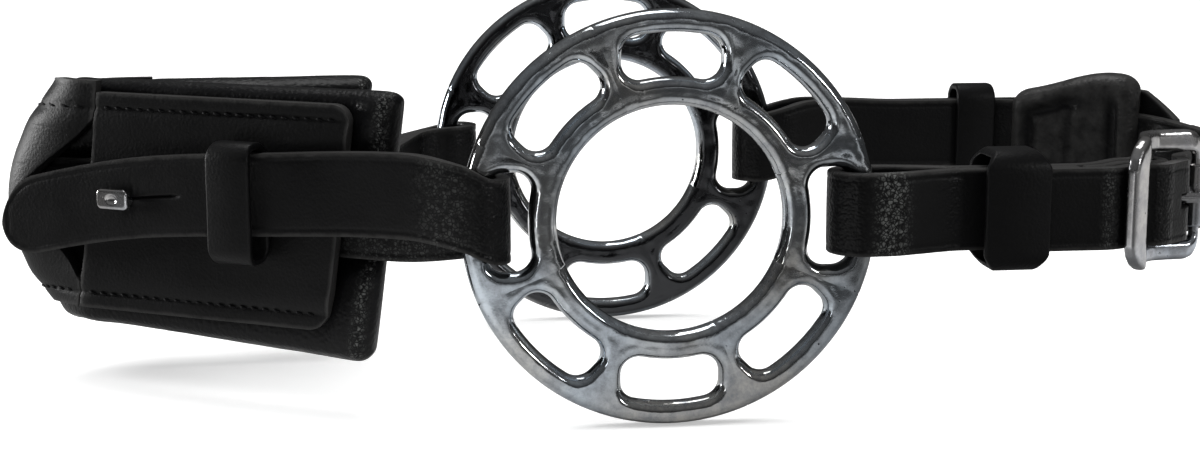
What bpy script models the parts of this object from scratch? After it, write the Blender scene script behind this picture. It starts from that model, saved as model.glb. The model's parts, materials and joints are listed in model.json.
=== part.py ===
"""Wheel hackamore: two slotted steel wheels joined by a padded noseband and a buckled curb strap.

Lengths are in metres. +X runs from the nose to the chin, +Y to the horse's off side, +Z up to the headpiece.
The pieces are laid out from the point midway between the centres of the two wheels, then the whole
object is moved so that its origin lies on the lining at the front of the nose, where the horse carries it.
Leather pieces are drawn flat, as patterns, and wrapped round the line of the nose or of the chin.
"""

import math

import bmesh
import bpy
from mathutils import Matrix, Vector

# Wheels
WHEEL_SPACING = 0.106
WHEEL_RADIUS = 0.045
HOLE_RADIUS = 0.0245
WHEEL_THICKNESS = 0.006
LIP_RADIUS = 0.0019
SLOT_COUNT = 8
RIM_WIDTH = 0.0050
HUB_WIDTH = 0.0061
SLOT_LENGTH = 0.0215
SLOT_CORNER_SHARE = 0.404

# Straps
STRAP_WIDTH = 0.018
STRAP_THICKNESS = 0.0028
STRAP_EDGE = 0.0006
TIP_LENGTH = 0.011
LOOP_CLEARANCE = 0.0016
LOOP_SLACK = 0.0015
LOOP_RUN_X = 0.0480
PLY_BEND_RADIUS = 0.0150
SEAT_GAP = 0.0003
PUNCH_RADIUS = 0.0018

# Noseband
NOSE_END = (-0.0615, -0.0450)
NOSE_FRONT = (-0.1702, 0.0187)
OFF_NOSE_END = (-0.0660, 0.0215)
NOSE_BEND_RADIUS = 0.0147
NOSE_BULGE = 0.0121
NOSE_BULGE_HEIGHT = 0.0268
NOSE_LEAN = 0.0008
NOSE_SLANT = 0.170
NOSE_LEVEL = -0.0005
OFF_SIDE_DROP = 0.0026
OFF_SIDE_START = -0.0040
OFF_SIDE_END = 0.0190
PANEL_THICKNESS = 0.0022
PANEL_HEIGHT = 0.0498
PANEL_INSET = 0.0090
PANEL_CORNER_RADIUS = 0.0045
NOTCH_DEPTH = 0.0140
NOTCH_HEIGHT = 0.0380
COVER_RISE = 0.0026
NOSE_PAD_ABOVE = 0.0274
NOSE_PAD_BELOW = 0.0296
NOSE_PAD_END_BELOW = 0.0322
NOSE_PAD_THICKNESS = 0.0094
PAD_SINK_LENGTH = 0.0040
PLY_RECESS = 0.0015
CHANNEL_CLEARANCE = 0.0006

# Hook studs and keepers
STUD_BASE_LENGTH = 0.0120
STUD_BASE_WIDTH = 0.0070
STUD_BASE_THICKNESS = 0.0008
STUD_NECK_RADIUS = 0.0014
STUD_HEAD_LENGTH = 0.0082
STUD_HEAD_WIDTH = 0.0046
STUD_HEAD_THICKNESS = 0.0018
NOSE_STUD_PLACE = 0.0600
OFF_NOSE_STUD_PLACE = 0.0400
KEEPER_THICKNESS = 0.0016
KEEPER_CORNER_RADIUS = 0.0022
NOSE_KEEPER_PLACE = 0.0310
OFF_NOSE_KEEPER_PLACE = 0.0200
NOSE_KEEPER_WIDTH = 0.0108
NOSE_KEEPER_PLAY = 0.0028
NOSE_KEEPER_ROOM = 0.0024
CURB_KEEPER_WIDTH = 0.0145
CURB_KEEPER_PLAY = 0.0026
CURB_KEEPER_FOLD_SHARE = 0.68
CURB_KEEPER_X = 0.0745
OFF_KEEPER_WIDTH = 0.0105
OFF_KEEPER_X = 0.1000
OFF_BEND_RADIUS = 0.0120

# Buckle, in its own frame: u along the strap, v outwards, z up
BUCKLE_X = 0.1090
BUCKLE_INSET = 0.0072
BUCKLE_TURN = math.radians(38)
BUCKLE_HALF_LENGTH = 0.0125
BUCKLE_WINDOW_HEIGHT = 0.0206
BUCKLE_RAIL_HEIGHT = 0.0037
BUCKLE_RAIL_DEPTH = 0.0032
BUCKLE_END_WIDTH = 0.0048
BUCKLE_CORNER_RADIUS = 0.0036
BUCKLE_ARCH = 0.0055
CENTRE_BAR_RADIUS = 0.0015
ROLLER_BAR_RADIUS = 0.0012
ROLLER_WALL = 0.0007
ROLLER_LENGTH = 0.0142
TONGUE_WIDTH = 0.0028
TONGUE_THICKNESS = 0.0020

# Curb and chin
NEAR_CURB_LEVEL = 0.0010
OFF_CURB_LEVEL = 0.0034
CHIN_LEVEL = 0.0008
LOOP_LEVEL = 0.0009
NEAR_NOSE_LEVEL = 0.0008
OFF_NOSE_LEVEL = -0.0012
CURB_MERGE_X = 0.0620
CURB_END_X = 0.0900
CURB_END_STEP = 0.0010
CHIN_NEAR_X = 0.1425
CHIN_NEAR_INSET = 0.0307
CHIN_OFF_X = 0.1430
CHIN_OFF_INSET = 0.0300
CHIN_END_X = 0.1070
BILLET_TIP_X = 0.0690
BILLET_RISE = 0.0098
BILLET_TOP = 0.0048
BILLET_FALL = 0.0102
BILLET_BEND_RADIUS = 0.0050
BILLET_TOP_RADIUS = 0.0040
BILLET_HOLE_PLACE = 0.0070
BILLET_HOLE_LENGTH = 0.0088
BUCKLE_BEND_RADIUS = 0.0120
CHIN_TURN_RADIUS = 0.0260
CHIN_BEND_RADIUS = 0.0200
CHIN_PAD_START = 0.0045
CHIN_PAD_LENGTH = 0.0345
CHIN_PAD_START_HEIGHT = 0.0240
CHIN_PAD_END_HEIGHT = 0.0380
CHIN_PAD_THICKNESS = 0.0070
CHIN_PANEL_THICKNESS = 0.0020
CHIN_TAPER = 0.0090

NOSE_SEAT = (-0.1273, 0.0065, -0.0015)

SLOT_INNER_RADIUS = HOLE_RADIUS + HUB_WIDTH
SLOT_OUTER_RADIUS = WHEEL_RADIUS - RIM_WIDTH
SLOT_CORNER_RADIUS = (SLOT_OUTER_RADIUS - SLOT_INNER_RADIUS) * SLOT_CORNER_SHARE
SIDE_Y = WHEEL_SPACING / 2
BUCKLE_CENTRE = (BUCKLE_X, BUCKLE_INSET - SIDE_Y)
CHIN_NEAR = (CHIN_NEAR_X, CHIN_NEAR_INSET - SIDE_Y)
CHIN_OFF = (CHIN_OFF_X, SIDE_Y - CHIN_OFF_INSET)
BAR_X = (WHEEL_RADIUS + SLOT_OUTER_RADIUS) / 2
PLY = STRAP_THICKNESS / 2
LOOP_RADIUS = WHEEL_THICKNESS / 2 + LOOP_CLEARANCE + PLY
LOOP_X = SLOT_OUTER_RADIUS - LOOP_SLACK - STRAP_THICKNESS
NEAR_OUTER_LEVELS = [
    (-0.1485, -0.0066),
    (-0.1410, -0.0043),
    (-0.1170, 0.0014),
    (-0.0880, 0.0044),
    (-0.0560, 0.0064),
    (-0.0450, 0.0042),
    (-0.0370, NEAR_NOSE_LEVEL),
]


def material(name, colour, metallic, roughness):
    made = bpy.data.materials.new(name)
    made.use_nodes = True
    shader = made.node_tree.nodes["Principled BSDF"]
    shader.inputs["Base Color"].default_value = (*colour, 1.0)
    shader.inputs["Metallic"].default_value = metallic
    shader.inputs["Roughness"].default_value = roughness
    return made


def finish(name, bm, look):
    """Turns a bmesh into a named object with outward faces and smooth shading between its sharp edges."""
    bmesh.ops.remove_doubles(bm, verts=bm.verts, dist=0.000005)
    bmesh.ops.recalc_face_normals(bm, faces=bm.faces)
    mesh = bpy.data.meshes.new(name)
    bm.to_mesh(mesh)
    bm.free()
    mesh.materials.append(look)
    mesh.shade_smooth()
    mesh.set_sharp_from_angle(angle=math.radians(35))
    made = bpy.data.objects.new(name, mesh)
    bpy.context.scene.collection.objects.link(made)
    return made


def apply_modifiers(target):
    """Replaces the object's mesh by what its modifiers make of it."""
    graph = bpy.context.evaluated_depsgraph_get()
    made = bpy.data.meshes.new_from_object(target.evaluated_get(graph))
    target.modifiers.clear()
    old = target.data
    target.data = made
    bpy.data.meshes.remove(old)


def combine(target, other, operation):
    """Cuts or joins another object into the target and removes the other object."""
    step = target.modifiers.new(operation.lower(), "BOOLEAN")
    step.operation = operation
    step.object = other
    apply_modifiers(target)
    bpy.data.objects.remove(other)


def line_arcs(corners, step=math.radians(15), stride=0.008):
    """Stations along straight runs joined by arcs, from corners (x, y, radius)."""
    points = [Vector(corner[:2]) for corner in corners]
    stations = [points[0]]
    for index in range(1, len(points) - 1):
        corner = points[index]
        radius = corners[index][2]
        into = (corner - points[index - 1]).normalized()
        out = (points[index + 1] - corner).normalized()
        turn = math.atan2(into.x * out.y - into.y * out.x, into.dot(out))
        cut = radius * math.tan(abs(turn) / 2)
        start = corner - into * cut
        side = Vector((-into.y, into.x)) * math.copysign(1, turn)
        centre = start + side * radius
        count = max(2, math.ceil(abs(turn) / step))
        for part in range(count + 1):
            spoke = Matrix.Rotation(turn * part / count, 2) @ (-side * radius)
            stations.append(centre + spoke)
    stations.append(points[-1])
    dense = [stations[0]]
    for after in stations[1:]:
        before = dense[-1]
        gap = (after - before).length
        if gap < 0.0001:
            continue
        count = math.ceil(gap / stride)
        for part in range(1, count + 1):
            dense.append(before.lerp(after, part / count))
    return dense


class Line:
    """A plan line with its length, read at any distance along it."""

    def __init__(self, corners, step=math.radians(15), stride=0.008):
        self.points = line_arcs(corners, step, stride)
        self.marks = [0.0]
        for before, after in zip(self.points, self.points[1:]):
            self.marks.append(self.marks[-1] + (after - before).length)
        self.length = self.marks[-1]

    def at(self, distance):
        """Point, unit tangent and left normal; runs straight on past both ends."""
        index = 0
        while index < len(self.marks) - 2 and self.marks[index + 1] < distance:
            index += 1
        before = self.points[index]
        after = self.points[index + 1]
        run = self.marks[index + 1] - self.marks[index]
        tangent = (after - before) / run
        return before + tangent * (distance - self.marks[index]), tangent, Vector((-tangent.y, tangent.x))

    def normals(self):
        """A left normal at each of the line's own stations, halfway between those of its two runs."""
        runs = [(after - before).normalized() for before, after in zip(self.points, self.points[1:])]
        found = []
        for index in range(len(self.points)):
            before = runs[max(index - 1, 0)]
            after = runs[min(index, len(runs) - 1)]
            mean = (before + after).normalized()
            stretch = 1 / max(mean.dot(after), 0.5)
            found.append(Vector((-mean.y, mean.x)) * stretch)
        return found


def between(value, table):
    """Value between the entries (key, value) of a table sorted by key, along a smooth curve."""
    if value <= table[0][0]:
        return table[0][1]
    if value >= table[-1][0]:
        return table[-1][1]
    index = next(place for place in range(len(table) - 1) if value <= table[place + 1][0])

    def slope(place):
        if place == 0 or place == len(table) - 1:
            return 0.0
        before, after = table[place - 1], table[place + 1]
        return (after[1] - before[1]) / (after[0] - before[0])

    (low, first), (high, second) = table[index], table[index + 1]
    run = high - low
    share = (value - low) / run
    rest = 1 - share
    ends = first * rest * rest * (1 + 2 * share) + second * share * share * (3 - 2 * share)
    return ends + run * share * rest * (slope(index) * rest - slope(index + 1) * share)


def loft(name, rings, look, closed=False):
    """Skins a row of rings that have the same number of points."""
    bm = bmesh.new()
    made = [[bm.verts.new(point) for point in ring] for ring in rings]
    pairs = list(zip(made, made[1:]))
    if closed:
        pairs.append((made[-1], made[0]))
    for before, after in pairs:
        for index in range(len(before)):
            following = (index + 1) % len(before)
            bm.faces.new((before[index], before[following], after[following], after[index]))
    if not closed:
        bm.faces.new(made[0])
        bm.faces.new(made[-1])
    return finish(name, bm, look)


def strap_section(width, thickness, edge):
    """Corners (h, b) of a strap's section with eased edges."""
    half = width / 2
    deep = thickness / 2
    ease = min(edge, half * 0.6)
    return [
        (-deep, -half + ease),
        (-deep, half - ease),
        (-deep + edge, half),
        (deep - edge, half),
        (deep, half - ease),
        (deep, -half + ease),
        (deep - edge, -half),
        (-deep + edge, -half),
    ]


def tip_share(distance, length):
    """Share of the full width at a distance from a strap's rounded point."""
    if distance >= length:
        return 1.0
    share = max(distance, 0.0) / length
    return 0.30 + 0.70 * math.sin(share * math.pi / 2) ** 0.8


def strap(name, line, level, look, tips=(False, False)):
    """A strap on edge along a plan line; level gives its middle height at a point of the line."""
    normals = line.normals()
    marks = list(zip(line.marks, line.points, normals))
    if tips[0]:
        extra = [line.at(TIP_LENGTH * share) for share in (0.12, 0.3, 0.55, 0.8)]
        rows = [(TIP_LENGTH * share, row[0], row[2]) for share, row in zip((0.12, 0.3, 0.55, 0.8), extra)]
        marks += rows
    if tips[1]:
        far = [line.length - TIP_LENGTH * share for share in (0.12, 0.3, 0.55, 0.8)]
        marks += [(mark, line.at(mark)[0], line.at(mark)[2]) for mark in far]
    marks.sort(key=lambda row: row[0])
    rings = []
    last = -1.0
    for mark, point, normal in marks:
        if mark - last < 0.0004:
            continue
        last = mark
        width = STRAP_WIDTH
        if tips[0]:
            width *= tip_share(mark, TIP_LENGTH)
        if tips[1]:
            width *= tip_share(line.length - mark, TIP_LENGTH)
        middle = level(point)
        ring = []
        for h, b in strap_section(width, STRAP_THICKNESS, STRAP_EDGE):
            ring.append((point.x + normal.x * h, point.y + normal.y * h, middle + b))
        rings.append(ring)
    return loft(name, rings, look)


def block(name, size, place, turn, look):
    """A box centred at a place, turned about Z."""
    bm = bmesh.new()
    bmesh.ops.create_cube(bm, size=1.0)
    bmesh.ops.scale(bm, vec=size, verts=bm.verts)
    bmesh.ops.rotate(bm, matrix=Matrix.Rotation(turn, 3, "Z"), verts=bm.verts)
    bmesh.ops.translate(bm, vec=place, verts=bm.verts)
    return finish(name, bm, look)


def rod(name, radius, start, end, sides, look):
    """A round bar between two points."""
    start = Vector(start)
    end = Vector(end)
    bm = bmesh.new()
    bmesh.ops.create_cone(
        bm, cap_ends=True, segments=sides, radius1=radius, radius2=radius, depth=(end - start).length
    )
    turn = Vector((0, 0, 1)).rotation_difference(end - start).to_matrix()
    bmesh.ops.rotate(bm, matrix=turn, verts=bm.verts)
    bmesh.ops.translate(bm, vec=(start + end) / 2, verts=bm.verts)
    return finish(name, bm, look)


# Wheels


def slot_outline(centre_angle):
    """One slot: sides that follow the rim and the hub, and rounded ends."""
    reach = SLOT_LENGTH / 2 - SLOT_CORNER_RADIUS
    inner = SLOT_INNER_RADIUS + SLOT_CORNER_RADIUS
    outer = SLOT_OUTER_RADIUS - SLOT_CORNER_RADIUS
    inner_angle = math.asin(reach / inner)
    outer_angle = math.asin(reach / outer)
    points = []
    for side, radius, angle in ((-1, inner, inner_angle), (-1, outer, outer_angle)):
        points.append((radius * math.cos(angle), side * radius * math.sin(angle)))
    low_inner, low_outer = points
    high_inner = (low_inner[0], -low_inner[1])
    high_outer = (low_outer[0], -low_outer[1])
    corner_steps = 3
    side_steps = 3
    outline = []

    def corner(centre, first, last):
        for index in range(corner_steps + 1):
            angle = first + (last - first) * index / corner_steps
            x = centre[0] + SLOT_CORNER_RADIUS * math.cos(angle)
            y = centre[1] + SLOT_CORNER_RADIUS * math.sin(angle)
            outline.append((x, y))

    def side(radius, first, last):
        for index in range(1, side_steps):
            angle = first + (last - first) * index / side_steps
            outline.append((radius * math.cos(angle), radius * math.sin(angle)))

    quarter = math.pi / 2
    corner(low_outer, -quarter, -outer_angle)
    side(SLOT_OUTER_RADIUS, -outer_angle, outer_angle)
    corner(high_outer, outer_angle, quarter)
    corner(high_inner, quarter, math.pi + inner_angle)
    side(SLOT_INNER_RADIUS, inner_angle, -inner_angle)
    corner(low_inner, math.pi - inner_angle, 3 * quarter)
    turn = Matrix.Rotation(centre_angle, 2)
    return [turn @ Vector(point) for point in outline]


def circle_outline(radius, count):
    return [
        Vector((radius * math.cos(2 * math.pi * index / count), radius * math.sin(2 * math.pi * index / count)))
        for index in range(count)
    ]


def wheel(name, side, look):
    """A cast wheel: a flat ring pierced by slots, every edge rounded into a smooth lip."""
    bm = bmesh.new()
    outlines = [circle_outline(WHEEL_RADIUS, 56), circle_outline(HOLE_RADIUS, 40)]
    outlines += [slot_outline(2 * math.pi * index / SLOT_COUNT) for index in range(SLOT_COUNT)]
    edges = []
    for outline in outlines:
        verts = [bm.verts.new((point.x, WHEEL_THICKNESS / 2, point.y)) for point in outline]
        for index, vert in enumerate(verts):
            edges.append(bm.edges.new((vert, verts[(index + 1) % len(verts)])))
    bmesh.ops.triangle_fill(bm, edges=edges, use_beauty=True, use_dissolve=False)
    grown = bmesh.ops.extrude_face_region(bm, geom=list(bm.faces), use_keep_orig=True)
    moved = [item for item in grown["geom"] if isinstance(item, bmesh.types.BMVert)]
    bmesh.ops.translate(bm, vec=(0, -WHEEL_THICKNESS, 0), verts=moved)
    bmesh.ops.recalc_face_normals(bm, faces=bm.faces)
    rims = []
    for edge in bm.edges:
        if len(edge.link_faces) == 2 and edge.calc_face_angle() > 1.3:
            if abs(edge.verts[0].co.y - edge.verts[1].co.y) < 0.001:
                rims.append(edge)
    bmesh.ops.bevel(bm, geom=rims, offset=LIP_RADIUS, segments=2, profile=0.5, affect="EDGES", clamp_overlap=True)
    bmesh.ops.translate(bm, vec=(0, side * SIDE_Y, 0), verts=bm.verts)
    return finish(name, bm, look)


# Noseband


class Wrap:
    """Maps a flat pattern point (a along, b up, h outwards) onto a plan line."""

    def __init__(self, line, level, slant=0.0, bulge=0.0, lean=0.0, bend=(0.0, 0.0), lift=0.0):
        self.line = line
        self.level = level
        self.slant = slant
        self.bulge = bulge
        self.lean = lean
        self.bend = bend
        self.lift = lift

    def place(self, a, b, h):
        point, tangent, normal = self.smooth(a)
        point, tangent, normal = self.smooth(a + self.slant * b * tangent.x)
        start, end = self.bend
        push = 0.0
        if start < a < end:
            rise = math.sin(math.pi * (a - start) / (end - start)) ** 2
            height = b / NOSE_BULGE_HEIGHT
            push = rise * (self.bulge * max(0.0, 1 - height * height) - self.lean * height)
        x = point.x + normal.x * (h + self.lift) - push
        y = point.y + normal.y * (h + self.lift)
        return Vector((x, y, b + self.level(point)))

    def smooth(self, a):
        """Point, tangent and normal, the last two turning evenly along arcs."""
        point = self.line.at(a)[0]
        before = self.line.at(a - 0.0008)[1]
        after = self.line.at(a + 0.0008)[1]
        mean = (before + after).normalized()
        return point, mean, Vector((-mean.y, mean.x))


def nose_level(point):
    """Middle height of the noseband, a little lower on the off side."""
    table = [(OFF_SIDE_START, NOSE_LEVEL), (OFF_SIDE_END, NOSE_LEVEL - OFF_SIDE_DROP)]
    return between(point.y, table)


def curb_level(point):
    """Middle height of the curb straps: they meet the wheels at one height and lie higher on the off side."""
    if point.y < 0.010:
        return between(point.x, [(0.040, LOOP_LEVEL), (0.060, NEAR_CURB_LEVEL)])
    side = between(point.y, [(0.014, CHIN_LEVEL), (0.047, OFF_CURB_LEVEL)])
    return between(point.x, [(0.0395, LOOP_LEVEL), (0.0540, side + 0.0006), (0.080, side)])


def nose_line():
    corners = [(*NOSE_END, 0), (*NOSE_FRONT, NOSE_BEND_RADIUS), (*OFF_NOSE_END, 0)]
    line = Line(corners, step=math.radians(6), stride=0.010)
    front = Vector(NOSE_FRONT)
    near = (Vector(NOSE_END) - front).normalized()
    off = (Vector(OFF_NOSE_END) - front).normalized()
    cut = NOSE_BEND_RADIUS / math.tan(near.angle(off) / 2)
    start = (Vector(NOSE_END) - front).length - cut
    end = line.length - ((Vector(OFF_NOSE_END) - front).length - cut)
    return line, (start, end)


def strip(stops, low, high, rows=1):
    """Cells of a flat pattern between two edges, each given as its height at a distance along."""
    cells = []
    for before, after in zip(stops, stops[1:]):
        for row in range(rows):
            corners = []
            for a, share in ((before, row), (after, row), (after, row + 1), (before, row + 1)):
                corners.append((a, low(a) + (high(a) - low(a)) * share / rows))
            cells.append(corners)
    return cells


def pattern_piece(name, cells, thickness, lift, wrap, look):
    """Thickens a flat pattern, given as faces of (a, b) points, and wraps it."""
    bm = bmesh.new()
    seen = {}
    for cell in cells:
        corners = []
        for a, b in cell:
            key = (round(a * 1e6), round(b * 1e6))
            if key not in seen:
                seen[key] = bm.verts.new((a, b, lift))
            if seen[key] not in corners:
                corners.append(seen[key])
        if len(corners) > 2:
            bm.faces.new(corners)
    grown = bmesh.ops.extrude_face_region(bm, geom=list(bm.faces), use_keep_orig=True)
    moved = [item for item in grown["geom"] if isinstance(item, bmesh.types.BMVert)]
    bmesh.ops.translate(bm, vec=(0, 0, thickness), verts=moved)
    for vert in bm.verts:
        vert.co = wrap.place(*vert.co)
    return finish(name, bm, look)


def rounded_end(distance, radius):
    """How much a rounded corner takes off the edge at a distance from the end."""
    if distance >= radius:
        return 0.0
    return radius - math.sqrt(max(0.0, radius * radius - (radius - distance) ** 2))


def side_panel(name, stops, half, wrap, look):
    """A side panel of the noseband, its wheel end cut with round corners."""
    cells = strip(stops, lambda a: -half(a), half, 2)
    return pattern_piece(name, cells, PANEL_THICKNESS, SEAT_GAP / 2, wrap, look)


def bridge_cover(name, stops, half, wrap, look):
    """The front piece: its two ends are cut in a deep V, so only its corners reach the side panels."""
    start = stops[0]
    end = stops[-1]

    def mouth(a):
        depth = min(a - start, end - a)
        return NOTCH_HEIGHT / 2 * max(0.0, 1 - depth / NOTCH_DEPTH)

    stops = merged(stops, (start + NOTCH_DEPTH, end - NOTCH_DEPTH))
    cells = strip(stops, mouth, lambda a: half(a) + COVER_RISE, 4)
    cells += strip(stops, lambda a: -half(a), lambda a: -mouth(a), 4)
    return pattern_piece(name, cells, PANEL_THICKNESS, SEAT_GAP / 2, wrap, look)


def pad_side(half, channel, depth, thickness, cover, squeeze, free):
    """Upper half of a pad's section as height b and depth h: its channel, its rolled edge and its back."""
    top = cover + SEAT_GAP
    roll = half - top
    rise = roll * 0.32 * squeeze * free - SEAT_GAP * (1 - free)
    floor = -depth - CHANNEL_CLEARANCE
    back = -thickness * (0.62 + 0.38 * squeeze)
    return [
        (channel, floor),
        (channel, -SEAT_GAP),
        (top, -SEAT_GAP),
        (top + roll * 0.30, rise),
        (top + roll * 0.75, rise * 0.55),
        (half, back * 0.25),
        (half - roll * 0.05, back * 0.55),
        (half - roll * 0.55, back * 0.84),
        (top - 0.0030, back),
    ]


def pad(name, stops, extent, cover_at, depth, thickness, wrap, ends, look, free_at=None):
    """A padded lining: rolled edges all round, flat where it lies on the horse, a channel for the strap.

    free_at gives the share of the upper roll that stands out, 0 where a cover presses it flat.
    """
    channel = STRAP_WIDTH / 2 + CHANNEL_CLEARANCE
    rings = []
    for stop in stops:
        near = min(stop - ends[0], ends[1] - stop)
        squeeze = math.sin(min(1.0, (near + 0.0006) / 0.006) * math.pi / 2)
        sides = []
        frees = (free_at(stop) if free_at else 1.0, 1.0)
        for half, free in zip(extent(stop), frees):
            half -= 0.0012 * (1 - squeeze)
            cover = max(min(cover_at(stop), half - 0.0024), channel + 0.0004)
            sides.append(pad_side(half, channel, depth, thickness, cover, squeeze, free))
        section = [(-b, h) for b, h in reversed(sides[1])] + sides[0]
        rings.append([wrap.place(stop, b, h) for b, h in section])
    return loft(name, rings, look)


def spaced(start, end, stride):
    count = max(1, round((end - start) / stride))
    return [start + (end - start) * index / count for index in range(count + 1)]


def merged(stops, extra):
    """Adds stops to a row and drops its own ones that lie too close to an added one."""
    kept = [stop for stop in stops if all(abs(stop - other) > 0.0008 for other in extra)]
    kept = [stops[0]] + [stop for stop in kept if stops[0] < stop < stops[-1]] + [stops[-1]]
    return sorted(kept + [stop for stop in extra if stops[0] < stop < stops[-1]])


# Fittings


def keeper(name, place, turn, width, opening, level, look, fold_share=1.0):
    """A leather loop round a strap; opening is (depth across the strap, height), and its folds may be narrower."""
    deep = opening[0] / 2
    tall = opening[1] / 2
    radius = min(KEEPER_CORNER_RADIUS, deep * 0.8)
    corners = []
    for x, z, first in ((deep, tall, 0), (-deep, tall, 1), (-deep, -tall, 2), (deep, -tall, 3)):
        centre = (x - math.copysign(radius, x), z - math.copysign(radius, z))
        for index in range(5):
            angle = math.pi / 2 * (first + index / 4)
            corners.append((centre, angle))
    frame = Matrix.Rotation(turn, 3, "Z")
    ease = KEEPER_THICKNESS * 0.25
    profile = [
        (0.0, -width / 2 + ease),
        (0.0, width / 2 - ease),
        (ease, width / 2),
        (KEEPER_THICKNESS - ease, width / 2),
        (KEEPER_THICKNESS, width / 2 - ease),
        (KEEPER_THICKNESS, -width / 2 + ease),
        (KEEPER_THICKNESS - ease, -width / 2),
        (ease, -width / 2),
    ]
    rings = []
    for centre, angle in corners:
        ring = []
        for out, along in profile:
            across = centre[0] + (radius + out) * math.cos(angle)
            up = centre[1] + (radius + out) * math.sin(angle)
            past = max(0.0, abs(up) - STRAP_WIDTH / 2) / (tall + KEEPER_THICKNESS - STRAP_WIDTH / 2)
            slim = 1 - (1 - fold_share) * past
            point = frame @ Vector((along * slim, across, up))
            ring.append((point.x + place[0], point.y + place[1], point.z + level))
        rings.append(ring)
    return loft(name, rings, look, closed=True)


def hook_stud(name, place, forward, outward, level, reach, look):
    """A hook stud: a base on the leather, a round neck and a flat dimpled head that points forward."""
    forward = Vector((forward.x, forward.y, 0)).normalized()
    outward = Vector((outward.x, outward.y, 0)).normalized()
    frame = Matrix((forward, outward.cross(forward), outward)).transposed()

    def rounded_plate(length, width, low, thick, shift, round_share):
        bm = bmesh.new()
        bmesh.ops.create_cube(bm, size=1.0)
        bmesh.ops.scale(bm, vec=(length, width, thick), verts=bm.verts)
        bmesh.ops.translate(bm, vec=(shift, 0, low + thick / 2), verts=bm.verts)
        uprights = [edge for edge in bm.edges if abs(edge.verts[0].co.z - edge.verts[1].co.z) > thick / 2]
        bmesh.ops.bevel(
            bm, geom=uprights, offset=width * round_share, segments=4, profile=0.5, affect="EDGES"
        )
        return bm

    base = finish(
        name, rounded_plate(STUD_BASE_LENGTH, STUD_BASE_WIDTH, SEAT_GAP, STUD_BASE_THICKNESS, 0.0, 0.42), look
    )
    bm = rounded_plate(
        STUD_HEAD_LENGTH,
        STUD_HEAD_WIDTH,
        reach,
        STUD_HEAD_THICKNESS,
        STUD_HEAD_LENGTH / 2 - STUD_NECK_RADIUS,
        0.26,
    )
    rims = [edge for edge in bm.edges if min(vert.co.z for vert in edge.verts) > reach + STUD_HEAD_THICKNESS * 0.9]
    bmesh.ops.bevel(bm, geom=rims, offset=0.0005, segments=2, profile=0.5, affect="EDGES")
    head = finish(name + "_head", bm, look)
    dimple = bmesh.new()
    bmesh.ops.create_uvsphere(dimple, u_segments=12, v_segments=8, radius=1.0)
    bmesh.ops.scale(dimple, vec=(0.0016, 0.0011, 0.0007), verts=dimple.verts)
    shift = (STUD_HEAD_LENGTH / 2 - STUD_NECK_RADIUS, 0, reach + STUD_HEAD_THICKNESS + 0.0001)
    bmesh.ops.translate(dimple, vec=shift, verts=dimple.verts)
    combine(head, finish(name + "_dimple", dimple, look), "DIFFERENCE")
    neck_top = reach + STUD_HEAD_THICKNESS / 2
    neck = rod(
        name + "_neck", STUD_NECK_RADIUS, (0, 0, SEAT_GAP + STUD_BASE_THICKNESS / 2), (0, 0, neck_top), 16, look
    )
    combine(base, neck, "UNION")
    combine(base, head, "UNION")
    turn = frame.to_4x4()
    turn.translation = Vector((place.x, place.y, level))
    base.data.transform(turn)
    return base


def buckle_point(u, v):
    """Plan position of a point of the buckle's own frame."""
    along = Vector((math.cos(BUCKLE_TURN), math.sin(BUCKLE_TURN)))
    outward = Vector((math.sin(BUCKLE_TURN), -math.cos(BUCKLE_TURN)))
    return Vector(BUCKLE_CENTRE) + along * u + outward * v


def buckle_frame(name, look):
    """A centre bar buckle: one closed loop whose ends rise over the strap, and the bar across it."""
    half = BUCKLE_HALF_LENGTH
    tall = (BUCKLE_WINDOW_HEIGHT + BUCKLE_RAIL_HEIGHT) / 2
    radius = BUCKLE_CORNER_RADIUS
    loop = []
    for x, z, first in ((half, tall, 0), (-half, tall, 1), (-half, -tall, 2), (half, -tall, 3)):
        centre = (x - math.copysign(radius, x), z - math.copysign(radius, z))
        for index in range(5):
            angle = math.pi / 2 * (first + index / 4)
            loop.append((centre[0] + radius * math.cos(angle), centre[1] + radius * math.sin(angle), angle))
        if first == 0 or first == 2:
            turn = math.pi / 2 * (first + 1)
            for share in (0.2, 0.4, 0.6, 0.8):
                run = x - math.copysign(radius, x)
                loop.append((run * (1 - 2 * share), z, turn))
    rings = []
    for u, z, angle in loop:
        lift = BUCKLE_ARCH * (1 - math.cos(math.pi * u / half)) / 2
        slim = max(0.0, math.cos(angle)) ** 2
        broad = max(0.0, -math.cos(angle)) ** 2
        wide = (BUCKLE_RAIL_HEIGHT / 2) * (1 - slim) + ROLLER_BAR_RADIUS * slim
        wide += (BUCKLE_END_WIDTH - BUCKLE_RAIL_HEIGHT) / 2 * broad
        deep = (BUCKLE_RAIL_DEPTH / 2) * (1 - slim) + ROLLER_BAR_RADIUS * slim
        ring = []
        power = 0.5 + 0.5 * slim
        for part in range(12):
            spin = 2 * math.pi * (part + 0.5) / 12
            across = wide * math.copysign(abs(math.cos(spin)) ** power, math.cos(spin))
            out = deep * math.copysign(abs(math.sin(spin)) ** power, math.sin(spin))
            plan = buckle_point(u + across * math.cos(angle), lift + out)
            ring.append((plan.x, plan.y, NEAR_CURB_LEVEL + z + across * math.sin(angle)))
        rings.append(ring)
    frame = loft(name, rings, look, closed=True)
    centre = buckle_point(0, 0)
    reach = tall
    bar = rod(
        name + "_bar",
        CENTRE_BAR_RADIUS,
        (centre.x, centre.y, NEAR_CURB_LEVEL - reach),
        (centre.x, centre.y, NEAR_CURB_LEVEL + reach),
        12,
        look,
    )
    combine(frame, bar, "UNION")
    return frame


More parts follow.
